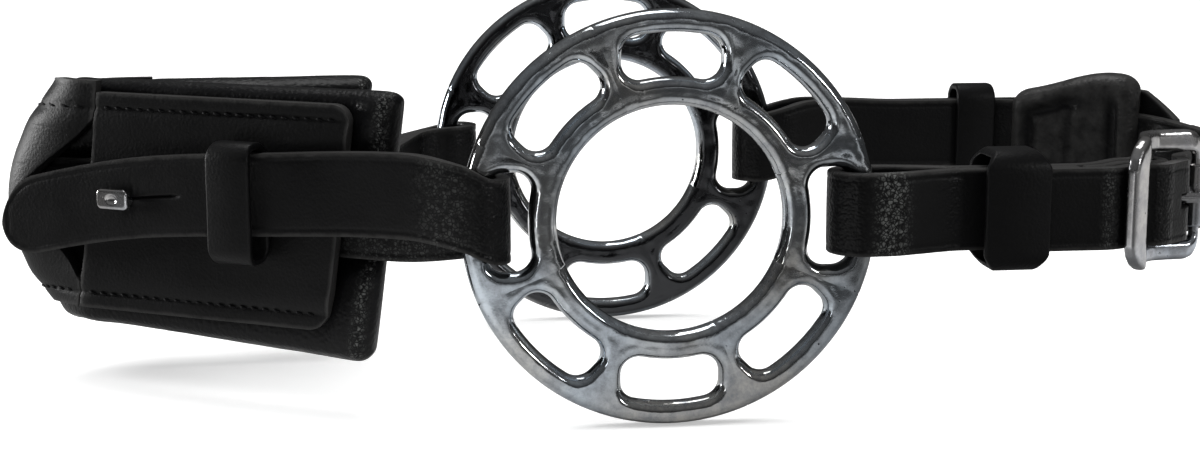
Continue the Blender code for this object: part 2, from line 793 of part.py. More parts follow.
def tube(name, centre, level, inner, outer, length, look):
    """A short tube on a vertical axis, turned from its wall section."""
    bm = bmesh.new()
    half = length / 2
    ease = (outer - inner) * 0.3
    section = [
        (inner, -half),
        (outer - ease, -half),
        (outer, -half + ease),
        (outer, half - ease),
        (outer - ease, half),
        (inner, half),
    ]
    verts = [bm.verts.new((radius, 0, z)) for radius, z in section]
    edges = [bm.edges.new((verts[index], verts[(index + 1) % len(verts)])) for index in range(len(verts))]
    bmesh.ops.spin(
        bm, geom=edges, axis=(0, 0, 1), cent=(0, 0, 0), angle=2 * math.pi, steps=20, use_merge=True
    )
    bmesh.ops.translate(bm, vec=(centre.x, centre.y, level), verts=bm.verts)
    return finish(name, bm, look)


def buckle_tongue(name, look):
    """The tongue: an eye round the centre bar and an arm that passes the billet and lies on the roller."""
    eye_inner = CENTRE_BAR_RADIUS + 0.0002
    roller_top = BUCKLE_ARCH + roller_outer() + SEAT_GAP
    lie = roller_top + TONGUE_THICKNESS / 2
    path = line_arcs(
        [
            (0.0008, eye_inner + TONGUE_THICKNESS * 0.35, 0),
            (0.0034, eye_inner + TONGUE_THICKNESS * 0.45, 0.0030),
            (BUCKLE_HALF_LENGTH - 0.0026, lie, 0.0030),
            (BUCKLE_HALF_LENGTH + 0.0034, lie, 0),
        ],
        math.radians(12),
        0.003,
    )
    line = Line([(point.x, point.y, 0) for point in path], stride=0.003)
    rings = []
    count = len(line.points)
    for index, (point, normal) in enumerate(zip(line.points, line.normals())):
        share = index / (count - 1)
        wide = TONGUE_WIDTH / 2 * (1 - 0.25 * share)
        deep = TONGUE_THICKNESS / 2 * (1 - 0.15 * share)
        ring = []
        for part in range(8):
            spin = 2 * math.pi * (part + 0.5) / 8
            up = wide * math.cos(spin) * 1.05
            out = deep * math.sin(spin) * 1.05
            plan = buckle_point(point.x + normal.x * out, point.y + normal.y * out)
            ring.append((plan.x, plan.y, NEAR_CURB_LEVEL + up))
        rings.append(ring)
    arm = loft(name, rings, look)
    eye = tube(
        name + "_eye",
        buckle_point(0, 0),
        NEAR_CURB_LEVEL,
        eye_inner,
        eye_inner + TONGUE_THICKNESS * 0.7,
        TONGUE_WIDTH,
        look,
    )
    combine(arm, eye, "UNION")
    return arm


def roller_outer():
    return ROLLER_BAR_RADIUS + 0.0003 + ROLLER_WALL


# The whole object


def main():
    for old in list(bpy.data.objects):
        bpy.data.objects.remove(old)

    steel = material("polished_steel", (0.42, 0.43, 0.45), 1.0, 0.16)
    nickel = material("buckle_steel", (0.62, 0.62, 0.64), 1.0, 0.24)
    leather = material("strap_leather", (0.018, 0.017, 0.018), 0.0, 0.48)
    lining = material("lining_leather", (0.014, 0.014, 0.015), 0.0, 0.34)

    wheel("near_wheel", -1, steel)
    wheel("off_wheel", 1, steel)

    # Noseband
    line, bend = nose_line()
    wrap = Wrap(line, nose_level, NOSE_SLANT, NOSE_BULGE, NOSE_LEAN, bend)
    total = line.length

    def panel_half(a):
        near = max(0.0, min(a, total - a) - PANEL_INSET)
        return PANEL_HEIGHT / 2 - rounded_end(near, PANEL_CORNER_RADIUS)

    corner = [PANEL_CORNER_RADIUS * share for share in (0.04, 0.16, 0.4, 1.0)]
    near_stops = spaced(0, bend[0], 0.0105)
    bend_stops = spaced(bend[0], bend[1], 0.0026)
    off_stops = spaced(bend[1], total, 0.0105)
    near_edge = [stop for stop in near_stops if stop > PANEL_INSET + PANEL_CORNER_RADIUS]
    near_edge = [PANEL_INSET] + [PANEL_INSET + step for step in corner] + near_edge
    off_edge = [stop for stop in off_stops if stop < total - PANEL_INSET - PANEL_CORNER_RADIUS]
    off_edge += [total - PANEL_INSET - step for step in reversed(corner)] + [total - PANEL_INSET]
    near_edge[-1] = bend[0] - SEAT_GAP
    off_edge[0] = bend[1] + SEAT_GAP
    side_panel("near_nose_panel", near_edge, panel_half, wrap, leather)
    side_panel("off_nose_panel", off_edge, panel_half, wrap, leather)
    bridge_cover("nose_bridge_cover", bend_stops, panel_half, wrap, leather)

    ply_depth = PLY_RECESS + STRAP_THICKNESS
    ends = (0.0012, 0.0030, 0.0060)
    sink = (bend[0] - PAD_SINK_LENGTH, bend[1] + PAD_SINK_LENGTH)
    stops = merged(near_stops, (*ends, sink[0]))[:-1] + bend_stops
    stops += merged(off_stops, (sink[1], *[total - step for step in ends]))[1:]
    below = [(0, NOSE_PAD_END_BELOW), (bend[0], NOSE_PAD_BELOW)]

    def pad_free(a):
        """The bridge cover reaches up to the pad's upper edge and presses its roll flat."""
        if bend[0] <= a <= bend[1]:
            return 0.0
        away = bend[0] - a if a < bend[0] else a - bend[1]
        return min(1.0, away / PAD_SINK_LENGTH)

    pad(
        "nose_pad",
        stops,
        lambda a: (NOSE_PAD_ABOVE, between(min(a, total - a), below)),
        lambda a: PANEL_HEIGHT / 2,
        ply_depth,
        NOSE_PAD_THICKNESS,
        wrap,
        (0, total),
        lining,
        pad_free,
    )

    # One strap: near point, near loop, round the nose under the panels, off loop, off point
    near_dir = (Vector(NOSE_FRONT) - Vector(NOSE_END)).normalized()
    near_out = Vector((-near_dir.y, near_dir.x))
    off_dir = (Vector(OFF_NOSE_END) - Vector(NOSE_FRONT)).normalized()
    off_out = Vector((-off_dir.y, off_dir.x))
    outer_lift = PANEL_THICKNESS + SEAT_GAP * 1.5 + KEEPER_THICKNESS + SEAT_GAP + PLY
    inner_lift = -(PLY_RECESS + PLY)
    loop_end = LOOP_X

    def meet_level(origin, direction, y):
        return origin + direction * ((y - origin.y) / direction.y)

    near_outer = Vector(NOSE_END) + near_out * outer_lift
    near_inner = Vector(NOSE_END) + near_out * inner_lift
    near_y = (-SIDE_Y - LOOP_RADIUS, -SIDE_Y + LOOP_RADIUS)
    off_y = (SIDE_Y - LOOP_RADIUS, SIDE_Y + LOOP_RADIUS)
    tip_near = near_outer + near_dir * 0.0948
    corner_a = meet_level(near_outer, near_dir, near_y[0])
    corner_b = meet_level(near_inner, near_dir, near_y[1])
    off_inner = Vector(OFF_NOSE_END) + off_out * inner_lift
    off_outer = Vector(OFF_NOSE_END) + off_out * outer_lift
    near_part = Line(
        [
            (*tip_near, 0),
            (*corner_a, 0.022),
            (-loop_end, near_y[0], LOOP_RADIUS),
            (-loop_end, near_y[1], LOOP_RADIUS),
            (*corner_b, 0.018),
            (*(near_inner + near_dir * 0.004), 0),
        ]
    )
    off_part = Line(
        [
            (*(off_inner - off_dir * 0.002), 0),
            (off_inner.x + 0.008, off_inner.y, 0.010),
            (-0.0492, off_y[0], 0.0075),
            (-loop_end, off_y[0], LOOP_RADIUS),
            (-loop_end, off_y[1], LOOP_RADIUS),
            (-0.0525, off_y[1], 0.0085),
            (off_outer.x + 0.0040, off_outer.y + 0.0002, 0.009),
            (off_outer.x - 0.058, off_outer.y - 0.058 * math.tan(math.atan2(off_dir.y, off_dir.x)), 0),
        ]
    )
    band = nose_strap(near_part, off_part, wrap, bend, total, inner_lift, leather)
    looks = (leather, nickel)
    nose_fittings(
        "near",
        Vector(NOSE_END),
        near_dir,
        near_out,
        NOSE_KEEPER_PLACE,
        NOSE_STUD_PLACE,
        near_outer_level,
        band,
        looks,
    )
    nose_fittings(
        "off",
        Vector(OFF_NOSE_END),
        -off_dir,
        off_out,
        OFF_NOSE_KEEPER_PLACE,
        OFF_NOSE_STUD_PLACE,
        off_outer_level,
        band,
        looks,
    )

    # Curb side
    curb_outer = -SIDE_Y - PLY - SEAT_GAP / 2
    curb_inner = -SIDE_Y + PLY + SEAT_GAP / 2
    billet_y = curb_outer - STRAP_THICKNESS - SEAT_GAP
    bar_wrap = CENTRE_BAR_RADIUS + SEAT_GAP + PLY + 0.0001
    left = -BUCKLE_HALF_LENGTH
    along = Vector((math.cos(BUCKLE_TURN), math.sin(BUCKLE_TURN)))
    outer_low = -PLY - 0.0005
    inner_low = outer_low - STRAP_THICKNESS - SEAT_GAP
    billet_low = BUCKLE_ARCH - BUCKLE_RAIL_DEPTH / 2 - SEAT_GAP - PLY
    billet_roll = BUCKLE_ARCH - roller_outer() - SEAT_GAP - PLY
    billet_top = bar_wrap + STRAP_THICKNESS + SEAT_GAP + 0.0004
    curb_line = Line(
        [
            (CURB_END_X, curb_outer, 0),
            (CURB_MERGE_X, curb_outer, PLY_BEND_RADIUS),
            (LOOP_RUN_X, near_y[0], PLY_BEND_RADIUS),
            (loop_end, near_y[0], LOOP_RADIUS),
            (loop_end, near_y[1], LOOP_RADIUS),
            (LOOP_RUN_X, near_y[1], PLY_BEND_RADIUS),
            (CURB_MERGE_X, curb_inner, PLY_BEND_RADIUS),
            (*meet_level(buckle_point(left, inner_low), along, curb_inner), BUCKLE_BEND_RADIUS),
            (*buckle_point(-0.0050, inner_low), 0.004),
            (*buckle_point(-0.0010, -bar_wrap), 0.004),
            (*buckle_point(bar_wrap, -bar_wrap), bar_wrap),
            (*buckle_point(bar_wrap, bar_wrap), bar_wrap),
            (*buckle_point(-0.0010, bar_wrap), 0.0024),
            (*buckle_point(left + 0.0050, outer_low), 0.0030),
            (*meet_level(buckle_point(left, outer_low), along, curb_outer), 0.010),
            (CURB_END_X + CURB_END_STEP, curb_outer, 0),
        ]
    )
    near_curb = strap("near_curb_strap", curb_line, curb_level, leather)
    slit = block(
        "tongue_slot",
        (0.0120, 0.0120, TONGUE_WIDTH + 0.0016),
        (*buckle_point(0.0016, 0.0012), NEAR_CURB_LEVEL),
        BUCKLE_TURN,
        leather,
    )
    combine(near_curb, slit, "DIFFERENCE")

    far_plain = SIDE_Y - PLY - SEAT_GAP / 2
    far_outer = SIDE_Y + PLY + SEAT_GAP / 2
    chin_corners = [
        (BILLET_TIP_X, billet_y, 0),
        (*meet_level(buckle_point(left, billet_low), along, billet_y), BUCKLE_BEND_RADIUS),
        (*buckle_point(-BILLET_RISE, billet_low), BILLET_BEND_RADIUS),
        (*buckle_point(-BILLET_TOP, billet_top), BILLET_TOP_RADIUS),
        (*buckle_point(BILLET_TOP, billet_top), BILLET_TOP_RADIUS),
        (*buckle_point(BILLET_FALL, billet_roll), BILLET_BEND_RADIUS),
        (*meet_chin(billet_roll, along), CHIN_TURN_RADIUS),
        (*CHIN_OFF, CHIN_BEND_RADIUS),
        (CHIN_END_X, far_plain, OFF_BEND_RADIUS),
        (CURB_MERGE_X, far_plain, PLY_BEND_RADIUS),
        (LOOP_RUN_X, off_y[0], PLY_BEND_RADIUS),
        (loop_end, off_y[0], LOOP_RADIUS),
        (loop_end, off_y[1], LOOP_RADIUS),
        (LOOP_RUN_X, off_y[1], PLY_BEND_RADIUS),
        (CURB_MERGE_X, far_outer, PLY_BEND_RADIUS),
    ]
    run = (Vector(CHIN_OFF) - Vector((CHIN_END_X, far_plain))).normalized()
    run_out = Vector((-run.y, run.x))
    panel_face = PLY + SEAT_GAP + CHIN_PANEL_THICKNESS
    return_lift = panel_face + SEAT_GAP + STUD_BASE_THICKNESS + SEAT_GAP + PLY
    return_start = Vector((CHIN_END_X, far_plain)) + run_out * return_lift
    chin_corners.append((*meet_level(return_start, run, far_outer), OFF_BEND_RADIUS))
    chin_corners.append((*(return_start + run * 0.030), 0))
    chin_line = Line(chin_corners)
    chin = strap("chin_strap", chin_line, curb_level, leather, (True, True))
    hole = buckle_point(BILLET_HOLE_PLACE, BILLET_TOP_RADIUS)
    punch = slot_cutter("billet_hole", hole, BUCKLE_TURN, NEAR_CURB_LEVEL, leather)
    combine(chin, punch, "DIFFERENCE")

    buckle_frame("buckle_frame", nickel)
    tube(
        "buckle_roller",
        buckle_point(BUCKLE_HALF_LENGTH, BUCKLE_ARCH),
        NEAR_CURB_LEVEL,
        ROLLER_BAR_RADIUS + 0.0003,
        roller_outer(),
        ROLLER_LENGTH,
        nickel,
    )
    buckle_tongue("buckle_tongue", nickel)

    keeper(
        "near_curb_keeper",
        (CURB_KEEPER_X, (curb_inner + billet_y) / 2),
        0.0,
        CURB_KEEPER_WIDTH,
        (curb_inner - billet_y + STRAP_THICKNESS + 0.0008, STRAP_WIDTH + 2 * CURB_KEEPER_PLAY),
        NEAR_CURB_LEVEL,
        leather,
        CURB_KEEPER_FOLD_SHARE,
    )
    keeper(
        "off_curb_keeper",
        (OFF_KEEPER_X, (far_plain + far_outer) / 2),
        0.0,
        OFF_KEEPER_WIDTH,
        (far_outer - far_plain + STRAP_THICKNESS + 0.0008, STRAP_WIDTH + 2 * CURB_KEEPER_PLAY),
        OFF_CURB_LEVEL,
        leather,
    )
    chin_body(run, Vector((CHIN_END_X, far_plain)), leather, lining)
    set_origins()


def set_origins():
    """Puts each moving piece's origin on its joint's axis and the whole object in its own frame."""
    centre = buckle_point(0, 0)
    roller = buckle_point(BUCKLE_HALF_LENGTH, BUCKLE_ARCH)
    joints = {
        "near_wheel": (-BAR_X, -SIDE_Y, 0),
        "off_wheel": (-BAR_X, SIDE_Y, 0),
        "buckle_tongue": (centre.x, centre.y, NEAR_CURB_LEVEL),
        "buckle_roller": (roller.x, roller.y, NEAR_CURB_LEVEL),
        "near_curb_keeper": (CURB_KEEPER_X, -SIDE_Y, NEAR_CURB_LEVEL),
        "off_curb_keeper": (OFF_KEEPER_X, SIDE_Y, OFF_CURB_LEVEL),
    }
    curb = ("near_curb_strap", "chin_strap", "buckle_frame", "chin_pad", "chin_panel", "off_curb_hook_stud")
    for name in curb:
        joints[name] = (BAR_X, -SIDE_Y, 0)
    for target in bpy.data.objects:
        place = Vector(joints.get(target.name, NOSE_SEAT))
        target.data.transform(Matrix.Translation(-place))
        target.location = place - Vector(NOSE_SEAT)


def meet_chin(offset, along):
    """Corner where the billet's straight run past the roller meets the run across the chin."""
    start = buckle_point(0.016, offset)
    share = (CHIN_NEAR[0] - start.x) / along.x
    return start + along * share


def near_outer_level(point):
    """Middle height of the near strap's outer ply, which rises off the wheel and falls to its point."""
    return between(point.x, NEAR_OUTER_LEVELS)


def near_inner_level(point):
    """Middle height of the near strap's inner ply, which enters the noseband."""
    return between(point.x, [(NOSE_END[0], NOSE_LEVEL), (-0.0370, NEAR_NOSE_LEVEL)])


def off_inner_level(point):
    """Middle height of the off strap's inner ply."""
    return between(point.x, [(-0.0660, NOSE_LEVEL - OFF_SIDE_DROP), (-0.0370, OFF_NOSE_LEVEL)])


def off_outer_level(point):
    """Middle height of the off strap's outer ply, which hangs a little lower."""
    return between(point.x, [(-0.0660, -0.0056), (-0.0520, -0.0040), (-0.0370, OFF_NOSE_LEVEL)])


def nose_strap(near_part, off_part, wrap, bend, total, lift, look):
    """The strap that carries both wheels, with a slit for each hook stud."""
    rings = []

    def add_ring(point, normal, middle, width):
        ring = []
        for h, b in strap_section(width, STRAP_THICKNESS, STRAP_EDGE):
            ring.append((point.x + normal.x * h, point.y + normal.y * h, middle + b))
        rings.append(ring)

    def tip_rows(part, from_end):
        rows = []
        for share in (0.12, 0.3, 0.55, 0.8):
            mark = TIP_LENGTH * share
            if from_end:
                mark = part.length - mark
            point, tangent, normal = part.at(mark)
            rows.append((mark, point, normal))
        return rows

    rows = list(zip(near_part.marks, near_part.points, near_part.normals())) + tip_rows(near_part, False)
    turn = max(rows, key=lambda row: row[1].x)[0]
    for mark, point, normal in sorted(rows, key=lambda row: row[0]):
        width = STRAP_WIDTH * tip_share(mark, TIP_LENGTH)
        level = near_outer_level(point) if mark < turn else near_inner_level(point)
        add_ring(point, normal, level, width)
    stops = spaced(0.004, bend[0], 0.012)[1:]
    stops += spaced(bend[0], bend[1], 0.0026)[1:-1]
    stops += spaced(bend[1], total - 0.002, 0.012)
    for stop in stops:
        section = strap_section(STRAP_WIDTH, STRAP_THICKNESS, STRAP_EDGE)
        rings.append([wrap.place(stop, b, lift + h) for h, b in section])
    rows = list(zip(off_part.marks, off_part.points, off_part.normals()))[1:] + tip_rows(off_part, True)
    turn = max(rows, key=lambda row: row[1].x)[0]
    for mark, point, normal in sorted(rows, key=lambda row: row[0]):
        width = STRAP_WIDTH * tip_share(off_part.length - mark, TIP_LENGTH)
        level = off_inner_level(point) if mark < turn else off_outer_level(point)
        add_ring(point, normal, level, width)
    return loft("nose_strap", rings, look)


def nose_fittings(side, start, forward, outward, keeper_place, stud_place, level_at, made, looks):
    """Hook stud and keeper of one side, and the stud's hole in the strap."""
    leather, metal = looks
    reach = outer_reach()
    place = start + forward * stud_place
    face = place + outward * (PANEL_THICKNESS + SEAT_GAP / 2)
    ply = place + outward * outer_lift()
    level = level_at(ply)
    hook_stud(side + "_nose_hook_stud", face, forward, outward, level, reach, metal)
    combine(made, stud_hole(side + "_hole", ply, outward, level, leather), "DIFFERENCE")
    spot = start + forward * keeper_place + outward * (outer_lift() + NOSE_KEEPER_ROOM / 2)
    keeper(
        side + "_nose_keeper",
        spot,
        math.atan2(forward.y, forward.x),
        NOSE_KEEPER_WIDTH,
        (STRAP_THICKNESS + 2 * SEAT_GAP + NOSE_KEEPER_ROOM, STRAP_WIDTH + 2 * NOSE_KEEPER_PLAY),
        level_at(spot) - 0.0016,
        leather,
    )


def outer_lift():
    return PANEL_THICKNESS + SEAT_GAP * 1.5 + KEEPER_THICKNESS + SEAT_GAP + PLY


def outer_reach():
    """Height of a hook stud's head above the panel's face, clear over the strap."""
    return outer_lift() + PLY + SEAT_GAP - PANEL_THICKNESS - SEAT_GAP / 2


def stud_hole(name, place, outward, level, look):
    """A punch for the round hole that takes a stud's neck."""
    start = place - outward * 0.0041
    end = place + outward * 0.0043
    return rod(name, PUNCH_RADIUS, (start.x, start.y, level), (end.x, end.y, level), 18, look)


def slot_cutter(name, place, turn, level, look):
    """An oval punch for the hole that the tongue passes."""
    size = (BILLET_HOLE_LENGTH, 0.0110, TONGUE_WIDTH + 0.0010)
    return block(name, size, (place.x, place.y, level), turn, look)


def chin_body(run, corner, leather, lining):
    """The wide part on the off side of the chin: an outer panel, and a pad on the chin's side."""
    line = Line(
        [
            (*corner, 0),
            (*CHIN_OFF, CHIN_BEND_RADIUS),
            (CHIN_OFF[0] - 0.0003, CHIN_NEAR[1], 0),
        ],
        step=math.radians(8),
        stride=0.006,
    )
    wrap = Wrap(line, curb_level)
    start = CHIN_PAD_START
    end = start + CHIN_PAD_LENGTH

    def pad_half(a):
        return between(a, [(start, CHIN_PAD_START_HEIGHT / 2), (end - 0.006, CHIN_PAD_END_HEIGHT / 2)])

    def cover(a):
        return pad_half(a) - between(a, [(start, 0.0020), (end - 0.006, 0.0040)])

    depth = STRAP_THICKNESS + SEAT_GAP
    plain = spaced(start, end, 0.0043)
    ends = (start + 0.0012, start + 0.0028, end - 0.0028, end - 0.0012)
    stops = merged(plain, ends)
    pad(
        "chin_pad",
        stops,
        lambda a: (pad_half(a), pad_half(a)),
        cover,
        depth,
        CHIN_PAD_THICKNESS,
        Wrap(line, curb_level, lift=PLY + SEAT_GAP),
        (start, end),
        lining,
    )

    def panel_half(a):
        if a <= end:
            return cover(a)
        wide = cover(end)
        share = min(1.0, (a - end) / CHIN_TAPER)
        return wide + (STRAP_WIDTH / 2 - wide) * share

    stops = plain + spaced(end, end + CHIN_TAPER, 0.0018)[1:]
    cells = strip(stops, lambda a: -panel_half(a), panel_half, 2)
    pattern_piece("chin_panel", cells, CHIN_PANEL_THICKNESS, PLY + SEAT_GAP, wrap, leather)
    nickel = bpy.data.materials["buckle_steel"]
    out = Vector((-run.y, run.x))
    face = corner + run * 0.020 + out * (PLY + SEAT_GAP + CHIN_PANEL_THICKNESS)
    reach = SEAT_GAP + STUD_BASE_THICKNESS + SEAT_GAP + STRAP_THICKNESS + SEAT_GAP
    level = curb_level(face)
    hook_stud("off_curb_hook_stud", face, run, out, level, reach, nickel)
    ply = face + out * (reach - SEAT_GAP - PLY)
    combine(bpy.data.objects["chin_strap"], stud_hole("curb_hole", ply, out, level, leather), "DIFFERENCE")


main()
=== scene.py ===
"""A wheel hackamore in black leather and polished steel, dressed over its fixed CAD model.

Lengths are in metres. +X runs from the nose to the chin, +Y to the horse's off side, +Z up to the headpiece.
Leather is cut flat as patterns, with a place along (a), a place across (b) and a height over the flesh
side (h), then laid along the line that its CAD node follows. Patterns and lines count from the point midway
between the wheels.
"""

import bisect
import json
import math

import bpy
from mathutils import Matrix, Vector, noise
from mathutils.bvhtree import BVHTree

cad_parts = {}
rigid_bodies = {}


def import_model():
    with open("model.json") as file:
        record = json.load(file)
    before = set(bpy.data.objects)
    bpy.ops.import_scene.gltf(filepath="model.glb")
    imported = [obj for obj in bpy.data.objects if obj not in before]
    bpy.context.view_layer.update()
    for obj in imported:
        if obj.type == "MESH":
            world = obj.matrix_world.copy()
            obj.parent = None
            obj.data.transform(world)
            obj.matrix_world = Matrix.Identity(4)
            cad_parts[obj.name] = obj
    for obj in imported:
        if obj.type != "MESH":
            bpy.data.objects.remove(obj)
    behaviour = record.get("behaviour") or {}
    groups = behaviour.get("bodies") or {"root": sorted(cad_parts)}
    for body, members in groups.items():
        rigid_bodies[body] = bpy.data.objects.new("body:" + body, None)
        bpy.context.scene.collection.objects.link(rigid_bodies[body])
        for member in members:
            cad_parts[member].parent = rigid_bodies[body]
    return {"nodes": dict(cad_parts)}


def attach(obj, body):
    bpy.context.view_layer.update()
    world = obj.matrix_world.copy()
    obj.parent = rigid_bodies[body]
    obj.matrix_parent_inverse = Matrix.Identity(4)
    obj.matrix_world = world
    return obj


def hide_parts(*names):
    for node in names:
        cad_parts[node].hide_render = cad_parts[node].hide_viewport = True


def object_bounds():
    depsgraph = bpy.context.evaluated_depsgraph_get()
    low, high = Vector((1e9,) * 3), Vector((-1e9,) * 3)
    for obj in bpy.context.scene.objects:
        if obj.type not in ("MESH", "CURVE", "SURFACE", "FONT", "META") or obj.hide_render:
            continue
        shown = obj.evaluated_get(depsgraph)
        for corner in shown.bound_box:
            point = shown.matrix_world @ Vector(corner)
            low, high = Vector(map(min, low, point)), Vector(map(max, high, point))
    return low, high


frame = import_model()
CAD_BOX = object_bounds()

bl_info = {
    "name": "Wheel hackamore",
    "version": (1, 0, 0),
    "blender": (4, 5, 0),
    "location": "3D View > Sidebar > Hackamore",
    "description": "Leather, stitching and polished steel for a wheel hackamore",
    "category": "Object",
}

# The point midway between the two wheels, in the CAD model's frame
MIDDLE = Vector((0.1273, -0.0065, 0.0015))

# Sizes that the CAD model fixes: the wheels' planes, the straps, the noseband's outer leather, the middle
# heights of noseband and curb, the noseband's bulge, the wheels with their slots, the buckle, the place of
# the near stud's slit, the nose strap's depth under the panels and the chin panel
SIDE_Y = 0.053
STRAP_HALF = 0.009
STRAP_THICKNESS = 0.0028
PLY = STRAP_THICKNESS / 2
SEAT_GAP = 0.0003
TIP_LENGTH = 0.011
PANEL_THICKNESS = 0.0022
PANEL_HALF = 0.0249
PANEL_INSET = 0.0090
PANEL_CORNER = 0.0045
NOTCH_DEPTH = 0.0140
NOTCH_HALF = 0.0190
COVER_RISE = 0.0026
KEEPER_THICKNESS = 0.0016
NOSE_LEVEL = -0.0005
NEAR_NOSE_LEVEL = 0.0008
OFF_NOSE_LEVEL = -0.0012
OFF_SIDE_DROP = 0.0026
LOOP_LEVEL = 0.0009
CHIN_LEVEL = 0.0008
NEAR_CURB_LEVEL = 0.0010
OFF_CURB_LEVEL = 0.0034
NOSE_SLANT = 0.170
NOSE_BULGE = 0.0121
NOSE_BULGE_HALF = 0.0268
NOSE_LEAN = 0.0008
WHEEL_RADIUS = 0.045
HOLE_RADIUS = 0.0245
WHEEL_THICKNESS = 0.006
WHEEL_ROUNDING = 0.0019
SLOT_COUNT = 8
SLOT_LENGTH = 0.0215
SLOT_INNER = 0.0306
SLOT_OUTER = 0.0400
SLOT_CORNER = 0.0038
BUCKLE_CENTRE = (0.1090, -0.0458)
BUCKLE_TURN = math.radians(38)
NOSE_STUD = 0.0348
STRAP_DEPTH = 0.0015
CHIN_PANEL_THICKNESS = 0.0020
CHIN_PANEL_HALF = 0.0150

# Lines in plan, as corners (x, y, radius)
NOSE_CORNERS = [(-0.0615, -0.0450, 0), (-0.1702, 0.0187, 0.0147), (-0.0660, 0.0215, 0)]
NEAR_NOSE_CORNERS = [
    (-0.146299, -0.002203, 0),
    (-0.049378, -0.059, 0.022),
    (-0.0357, -0.059, 0.006),
    (-0.0357, -0.047, 0.006),
    (-0.052351, -0.047, 0.018),
    (-0.063485, -0.040476, 0),
]
OFF_NOSE_CORNERS = [
    (-0.067921, 0.018547, 0),
    (-0.057922, 0.018601, 0.01),
    (-0.0492, 0.047, 0.0075),
    (-0.0357, 0.047, 0.006),
    (-0.0357, 0.059, 0.006),
    (-0.0525, 0.059, 0.0085),
    (-0.06216, 0.027648, 0.009),
    (-0.12416, 0.025889, 0),
]
CURB_CORNERS = [
    (0.09, -0.05455, 0),
    (0.062, -0.05455, 0.015),
    (0.048, -0.059, 0.015),
    (0.0357, -0.059, 0.006),
    (0.0357, -0.047, 0.006),
    (0.048, -0.047, 0.015),
    (0.062, -0.05145, 0.015),
    (0.093647, -0.05145, 0.012),
    (0.101982, -0.044938, 0.004),
    (0.10618, -0.043815, 0.004),
    (0.109569, -0.041168, 0.0033),
    (0.113632, -0.046369, 0.0033),
    (0.110244, -0.049016, 0.0024),
    (0.10192, -0.04892, 0.003),
    (0.094714, -0.05455, 0.01),
    (0.091, -0.05455, 0),
]
CHIN_CORNERS = [
    (0.069, -0.05765, 0),
    (0.097406, -0.05765, 0.012),
    (0.102632, -0.053567, 0.005),
    (0.109404, -0.054114, 0.004),
    (0.116969, -0.048203, 0.004),
    (0.118023, -0.040781, 0.005),
    (0.1425, -0.021657, 0.026),
    (0.143, 0.023, 0.02),
    (0.107, 0.05145, 0.012),
    (0.062, 0.05145, 0.015),
    (0.048, 0.047, 0.015),
    (0.0357, 0.047, 0.006),
    (0.0357, 0.059, 0.006),
    (0.048, 0.059, 0.015),
    (0.062, 0.05455, 0.015),
    (0.113561, 0.05455, 0.012),
    (0.134567, 0.037949, 0),
]
CHIN_START = 0.0045
CHIN_END = CHIN_START + 0.0345
CHIN_TAPER = 0.0090
CHIN_PAD_CORNERS = [(0.107, 0.05145, 0), (0.143, 0.023, 0.02), (0.1427, -0.0223, 0)]
LOOP_X = -0.0370
NEAR_OUTER_LEVELS = [
    (-0.1485, -0.0066),
    (-0.1410, -0.0043),
    (-0.1170, 0.0014),
    (-0.0880, 0.0044),
    (-0.0560, 0.0064),
    (-0.0450, 0.0042),
    (LOOP_X, NEAR_NOSE_LEVEL),
]
OFF_OUTER_LEVELS = [(-0.0660, -0.0056), (-0.0520, -0.0040), (LOOP_X, OFF_NOSE_LEVEL)]

# The finish: what merges, a strap's waves, how far stitches sink, creases at bends and a rubbed edge's width
MERGE = 0.00001
STRAP_WAVE = 0.00012
STITCH_SINK = 0.00022
FOLD_DEPTH = 3.0
FULL_FOLD = 130
RUB_WIDTH = 0.0012

# The stuffed linings: their roll past the outer leather, the rounding of their edges, what is next to them
# and the cloth that swells them
PAD_ROLL = 0.30
PAD_FRONT_ROUND = 0.0030
PAD_BACK_ROUND = 0.0046
PAD_FOLD = 0.0040
PAD_NEIGHBOURS = (
    "near_panel_leather",
    "off_panel_leather",
    "bridge_leather",
    "nose_strap_leather",
    "chin_strap_leather",
    "chin_panel_leather",
)
CLOTH_SCALE = 20.0
CLOTH_FRAMES = 20
CLOTH = {
    "quality": 6,
    "mass": 0.05,
    "tension_stiffness": 12,
    "compression_stiffness": 6,
    "shear_stiffness": 4,
    "bending_stiffness": 12.0,
    "use_pressure": True,
    "uniform_pressure_force": 4.0,
    "shrink_min": -0.012,
    "vertex_group_mass": "held",
}

# The stage: the floor's distance, where lamps aim, and lamps as name, place, width and power
FLOOR_GAP = 0.0004
AIM = Vector((0.12, 0.0, 0.0))
SOFTBOXES = (
    ("left softbox", (-0.70, 0.28, 0.10), 0.24, 3.4),
    ("right softbox", (0.80, -0.75, 0.30), 0.16, 1.2),
    ("top softbox", (0.05, 0.30, 1.00), 0.50, 3.0),
    ("low front lamp", (-0.02, -0.27, -0.022), 0.03, 0.015),
)


def metres(name, description, default, low, high, precision=4):
    return bpy.props.FloatProperty(
        name=name,
        description=description,
        default=default,
        min=low,
        max=high,
        unit="LENGTH",
        precision=precision,
    )


def tint(name, description, default):
    return bpy.props.FloatVectorProperty(
        name=name, description=description, subtype="COLOR", size=3, default=default
    )


